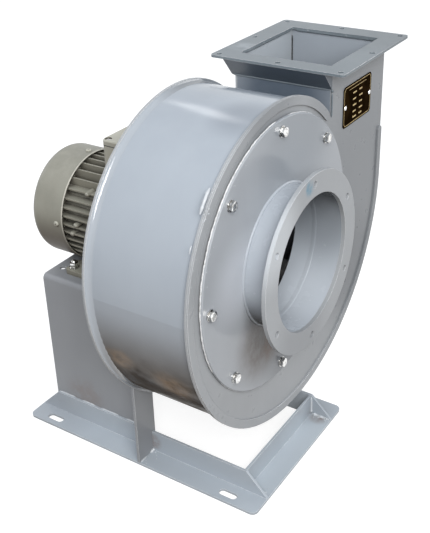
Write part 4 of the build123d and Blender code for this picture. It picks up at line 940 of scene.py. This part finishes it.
# x and y of both ends, radius, seed
OUTER = ((0.1823, 0.161, 0.1823, 0.344, 0.0016, 33), (0.0167, 0.161, 0.0167, 0.344, 0.0018, 34),
         (0.022, 0.3454, 0.177, 0.3454, 0.0016, 35))
INNER = ((0.0208, 0.164, 0.0208, 0.335, 0.0022, 36), (0.021, 0.3352, 0.178, 0.3352, 0.0025, 37),
         (0.021, 0.1638, 0.178, 0.1638, 0.0020, 42), (0.1782, 0.164, 0.1782, 0.335, 0.0020, 43))
bm = bmesh.new()
for rows, touch in ((OUTER, {}), (INNER, {"ripple": 0.05, "pitch": 0.012, "ragged": 0.08})):
    for x0, y0, x1, y1, size, seed in rows:
        bead(bm, [(x0, y0, JOINT_Z), (x1, y1, JOINT_Z)], size, seed, **touch)
for x, y, size in ((0.0215, 0.185, 0.0022), (0.0215, 0.237, 0.0026), (0.0215, 0.334, 0.0034),
                   (0.051, 0.3345, 0.0030), (0.120, 0.3345, 0.0026)):
    drop(bm, (x, y, JOINT_Z + 0.0013), UP, size)
finish_mesh("outlet_inner_beads", bm, OUTLET, angle=70)
bm = bmesh.new()
bead(bm, [(0.013, 0.1596, 0.5462), (0.181, 0.1596, 0.5462)], 0.0013, 38, ripple=0.06)
bead(bm, [(0.1822, 0.1575, 0.5480), (0.1826, 0.1610, 0.5430)], 0.0028, 39, ripple=0.1, ragged=0.2)
bead(bm, [(0.1821, 0.1600, 0.505), (0.1821, 0.1600, 0.543)], 0.0012, 41, ripple=0.08)
finish_mesh("neck_corner_beads", bm, OUTLET, angle=70)
bm = bmesh.new()
bead(bm, [(0.0204, 0.3356, 0.45), (0.0204, 0.3356, 0.566)], 0.0013, 40, ragged=0.15)
finish_mesh("neck_corner_seam", bm, RUBBER, angle=80)

# %% [markdown]
# ## Base welds
# The base is stitched, not welded along its full length: short beads join the pedestal to the rails, the
# turned-out flanges to the rails' flat legs, and the cross bar's ends to both rails.

# %% Base beads
LEG_TOP, RAIL_TOP = 0.0045, 0.0403
RAIL_RUNS = ((-0.178, 0.034), (-0.128, 0.027), (-0.088, 0.036), (-0.036, 0.040))
# both ends, radius, seed, ripple, raggedness
STITCHES = (((0.0175, 0.103, LEG_TOP), (0.0175, 0.116, LEG_TOP), 0.0026, 61, 0.2, 0.25),
            ((0.0175, 0.124, LEG_TOP), (0.0175, 0.140, LEG_TOP), 0.0014, 77, 0.1, 0.2),
            ((0.0125, 0.108, LEG_TOP), (0.0125, 0.138, LEG_TOP), 0.0022, 64, 0.25, 0.2),
            ((0.1893, 0.1015, 0.006), (0.1893, 0.1015, 0.038), 0.0020, 67, 0.2, 0.2),
            ((0.192, 0.1012, 0.0044), (0.2225, 0.1012, 0.0044), 0.0024, 70, 0.25, 0.25))
# how many droplets, then the ranges of x, y and size
DROPS = ((8, (0.018, 0.034), (0.106, 0.138), (0.0006, 0.0012)),
         (6, (0.192, 0.222), (0.082, 0.098), (0.0006, 0.0014)))
bm = bmesh.new()
for side in (-1, 1):
    for k, (start, length) in enumerate(RAIL_RUNS):
        ends = [(x, side * 0.1023, RAIL_TOP) for x in (start, start + length)]
        bead(bm, ends, 0.0013, 50 + k, ripple=0.1, ragged=0.2)
    for one, two, size, seed, ripple, ragged in STITCHES:
        ends = [(x, side * y, z) for x, y, z in (one, two)]
        bead(bm, ends, size, seed + side, ripple=ripple, ragged=ragged)
    for count, xs, ys, sizes in DROPS:
        for k in range(count):
            spot = (random.uniform(*xs), side * random.uniform(*ys), 0.0042)
            drop(bm, spot, UP, random.uniform(*sizes))
finish_mesh("base_stitch_beads", bm, WELD, angle=70)

# %% [markdown]
# ## Name plate
# The plate carries no words: only a thin border and the blank fields that such a plate has. They are foil,
# a tenth of a millimetre proud. Its two rivets have domed heads.

# %% Border, blank fields and rivets
PLATE_Y, PLATE_Z, PLATE_X = 0.247, 0.505, 0.183
PLATE_HALF_Y, PLATE_HALF_Z, RIVET_Y = 0.049, 0.0325, 0.043


def strip(bm, y0, z0, y1, z1, width):
    """A thin raised bar on the plate between two points given from its centre."""
    one = Vector((PLATE_X, PLATE_Y + y0, PLATE_Z + z0))
    two = Vector((PLATE_X, PLATE_Y + y1, PLATE_Z + z1))
    across = (two - one).normalized().cross(Vector(OUTWARD)) * width / 2
    low = [one - across, two - across, two + across, one + across]
    base = [bm.verts.new(p - Vector((0.0002, 0, 0))) for p in low]
    top = [bm.verts.new(p + Vector((0.0001, 0, 0))) for p in low]
    bm.faces.new(top)
    for k in range(4):
        bm.faces.new((base[k], base[(k + 1) % 4], top[(k + 1) % 4], top[k]))


def cut_corner_loop(inset, cut):
    """Corners of the plate's outline moved inwards, with its corners cut off."""
    y, z = PLATE_HALF_Y - inset, PLATE_HALF_Z - inset
    return [(y - cut, z), (y, z - cut), (y, cut - z), (y - cut, -z),
            (cut - y, -z), (-y, cut - z), (-y, z - cut), (cut - y, z)]


bm = bmesh.new()
border = cut_corner_loop(0.0025, 0.0045)
for one, two in zip(border, border[1:] + border[:1]):
    strip(bm, *one, *two, 0.0008)
for k, z in enumerate((0.016, 0.006, -0.004, -0.014, -0.023)):
    strip(bm, -0.016, z, -0.004 - 0.002 * (k % 2), z, 0.0022)
    strip(bm, 0.006, z, 0.016 + 0.002 * (k % 2), z, 0.0022)
strip(bm, -0.030, 0.0245, 0.030, 0.0245, 0.0007)
finish_mesh("plate_blank_fields", bm, GILT, angle=30)
bm = bmesh.new()
dome = [(0.0016, -0.004), (0.0016, 0), (0.0035, 0), (0.0034, 0.0006), (0.0028, 0.0011), (0.0017, 0.00145),
        (0.0003, 0.0015)]
for side in (-1, 1):
    stack(bm, (PLATE_X, PLATE_Y + side * RIVET_Y, PLATE_Z), OUTWARD, dome, 20)
rivets = finish_mesh("plate_rivet_heads", bm, RIVET_METAL, angle=60)
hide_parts("name_plate_rivets")

# %% [markdown]
# ## Motor trim
# The cowl's front edge is rolled, and the roll's pale paint is a painted highlight. On the frame's sides sit
# small round bosses with screws, where other feet could be fitted.

# %% Cowl edge and frame bosses
# x, height over the shaft's line, then how far out it starts and ends
BOSSES = ((-0.104, 0.052, 0.050, 0.0685), (-0.118, 0.004, 0.070, 0.0850), (-0.128, -0.013, 0.068, 0.0838))
bm = bmesh.new()
bead(bm, ring_path(-0.1432, 0.0874), 0.0011, 81, ripple=0.0, pitch=0.006, ragged=0.02)
finish_mesh("cowl_rolled_edge", bm, MOTOR_EDGE_HIGHLIGHT, angle=80)
bm = bmesh.new()
boss_screws = bmesh.new()
for side in (-1, 1):
    for x, level, root, tip in BOSSES:
        seat = Vector((x, side * root, SHAFT_Z + level))
        stack(bm, seat, (0, side, 0), [(0.0046, 0), (0.0044, tip - root - 0.001), (0.0038, tip - root)], 20)
        screw_seat = seat + Vector((0, side * (tip - root - 0.0002), 0))
        cross_head(boss_screws, screw_seat, (0, side, 0), 0.0030, 0.0012, 0.0015, 0.002)
finish_mesh("frame_side_bosses", bm, MOTOR_CAST, angle=40)
finish_mesh("frame_boss_screws", boss_screws, MOTOR_SCREW, angle=30)

# %% [markdown]
# ## Floor, light and sky
# The floor is a plain pale sheet that keeps the soft shadow. The camera and glossy surfaces see floor and sky
# white. Only the light that bounces off the floor is that of dull ground, and this, with the painted shade on
# faces that look down, turns the fan's lower half darker and browner than its top. The sky is brighter
# overhead than at the horizon.


# %% Studio
FLOOR_HALF, FLOOR_Z = 9, -0.0005


def area_light(name, place, target, size, watts, colour=(1, 1, 1)):
    """A rectangular lamp at a place, turned to a target."""
    data = bpy.data.lights.new(name, "AREA")
    data.shape = "RECTANGLE"
    data.size, data.size_y = size
    data.energy = watts
    data.color = colour
    lamp = add_object(name, data)
    lamp.location = place
    lamp.rotation_euler = (Vector(target) - Vector(place)).to_track_quat("-Z", "Y").to_euler()


def seen_rays(graph):
    """1 for camera, glossy and transmission rays, and 0 for light that spreads."""
    path = graph.node("ShaderNodeLightPath")
    camera, glossy, clear = (Val(graph, path.outputs[f"Is {kind} Ray"])
                             for kind in ("Camera", "Glossy", "Transmission"))
    return camera.highest(glossy).highest(clear)


def white_floor():
    """Pale floor to the eye, dull ground to the light that bounces."""
    mat = Mat("floor_white")
    tone = mat.blend(mat.noise(0.7, 2.0), (0.36, 0.36, 0.36), (0.34, 0.34, 0.34))
    mat.set(Base_Color=tone, Roughness=0.9, Specular_IOR_Level=0.0,
            Emission_Color=(1, 1, 1), Emission_Strength=0.80)
    ground = mat.node("ShaderNodeBsdfDiffuse", {"Color": (0.135, 0.108, 0.085)})
    mat.mix_shaders(seen_rays(mat), ground, mat.shader)
    return mat.material


def sky_world():
    """White to the eye. Its light is brighter overhead than at the horizon."""
    world = bpy.data.worlds.new("studio_world")
    bpy.context.scene.world = world
    world.use_nodes = True
    graph = Graph(world.node_tree)
    way = graph.node("ShaderNodeTexCoord").outputs["Generated"]
    parts = graph.node("ShaderNodeSeparateXYZ", {"Vector": Val(graph, way)})
    height = graph.node("ShaderNodeMapRange", {"Value": Val(graph, parts.outputs["Z"])})
    tint = graph.blend(Val(graph, height.outputs["Result"]), (0.48, 0.50, 0.53), (0.66, 0.70, 0.75))
    sky = graph.tree.nodes["Background"]
    graph.put(sky.inputs["Color"], tint)
    graph.put(sky.inputs["Strength"], 1.0)
    white = graph.node("ShaderNodeBackground", {"Color": (1, 1, 1), "Strength": 1.0})
    graph.mix_shaders(seen_rays(graph), sky, white, output="World Output")


def studio():
    """Floor, world and lights."""
    mesh = bpy.data.meshes.new("floor")
    corners = [(sx * FLOOR_HALF, sy * FLOOR_HALF, FLOOR_Z) for sx, sy in ((-1, -1), (1, -1), (1, 1), (-1, 1))]
    mesh.from_pydata(corners, [], [(0, 1, 2, 3)])
    floor = add_object("floor", mesh)
    mesh.materials.append(white_floor())
    sky_world()
    area_light("key", (1.50, -1.53, 1.85), (0.05, 0.05, 0.35), (1.5, 1.5), 70, (1.0, 0.99, 0.97))
    area_light("streak", (-0.95, 1.06, 1.85), (0.105, -0.048, 0.566), (0.14, 0.34), 0.62)
    area_light("right", (1.0, 2.3, 1.3), (0.0, 0.1, 0.35), (1.3, 1.3), 13)
    area_light("rear", (-2.3, -0.3, 1.5), (-0.1, 0.0, 0.35), (1.3, 1.3), 13)


studio()
view = bpy.context.scene.view_settings
view.view_transform = "Standard"
print("lamps", [lamp.name for lamp in bpy.data.lights])
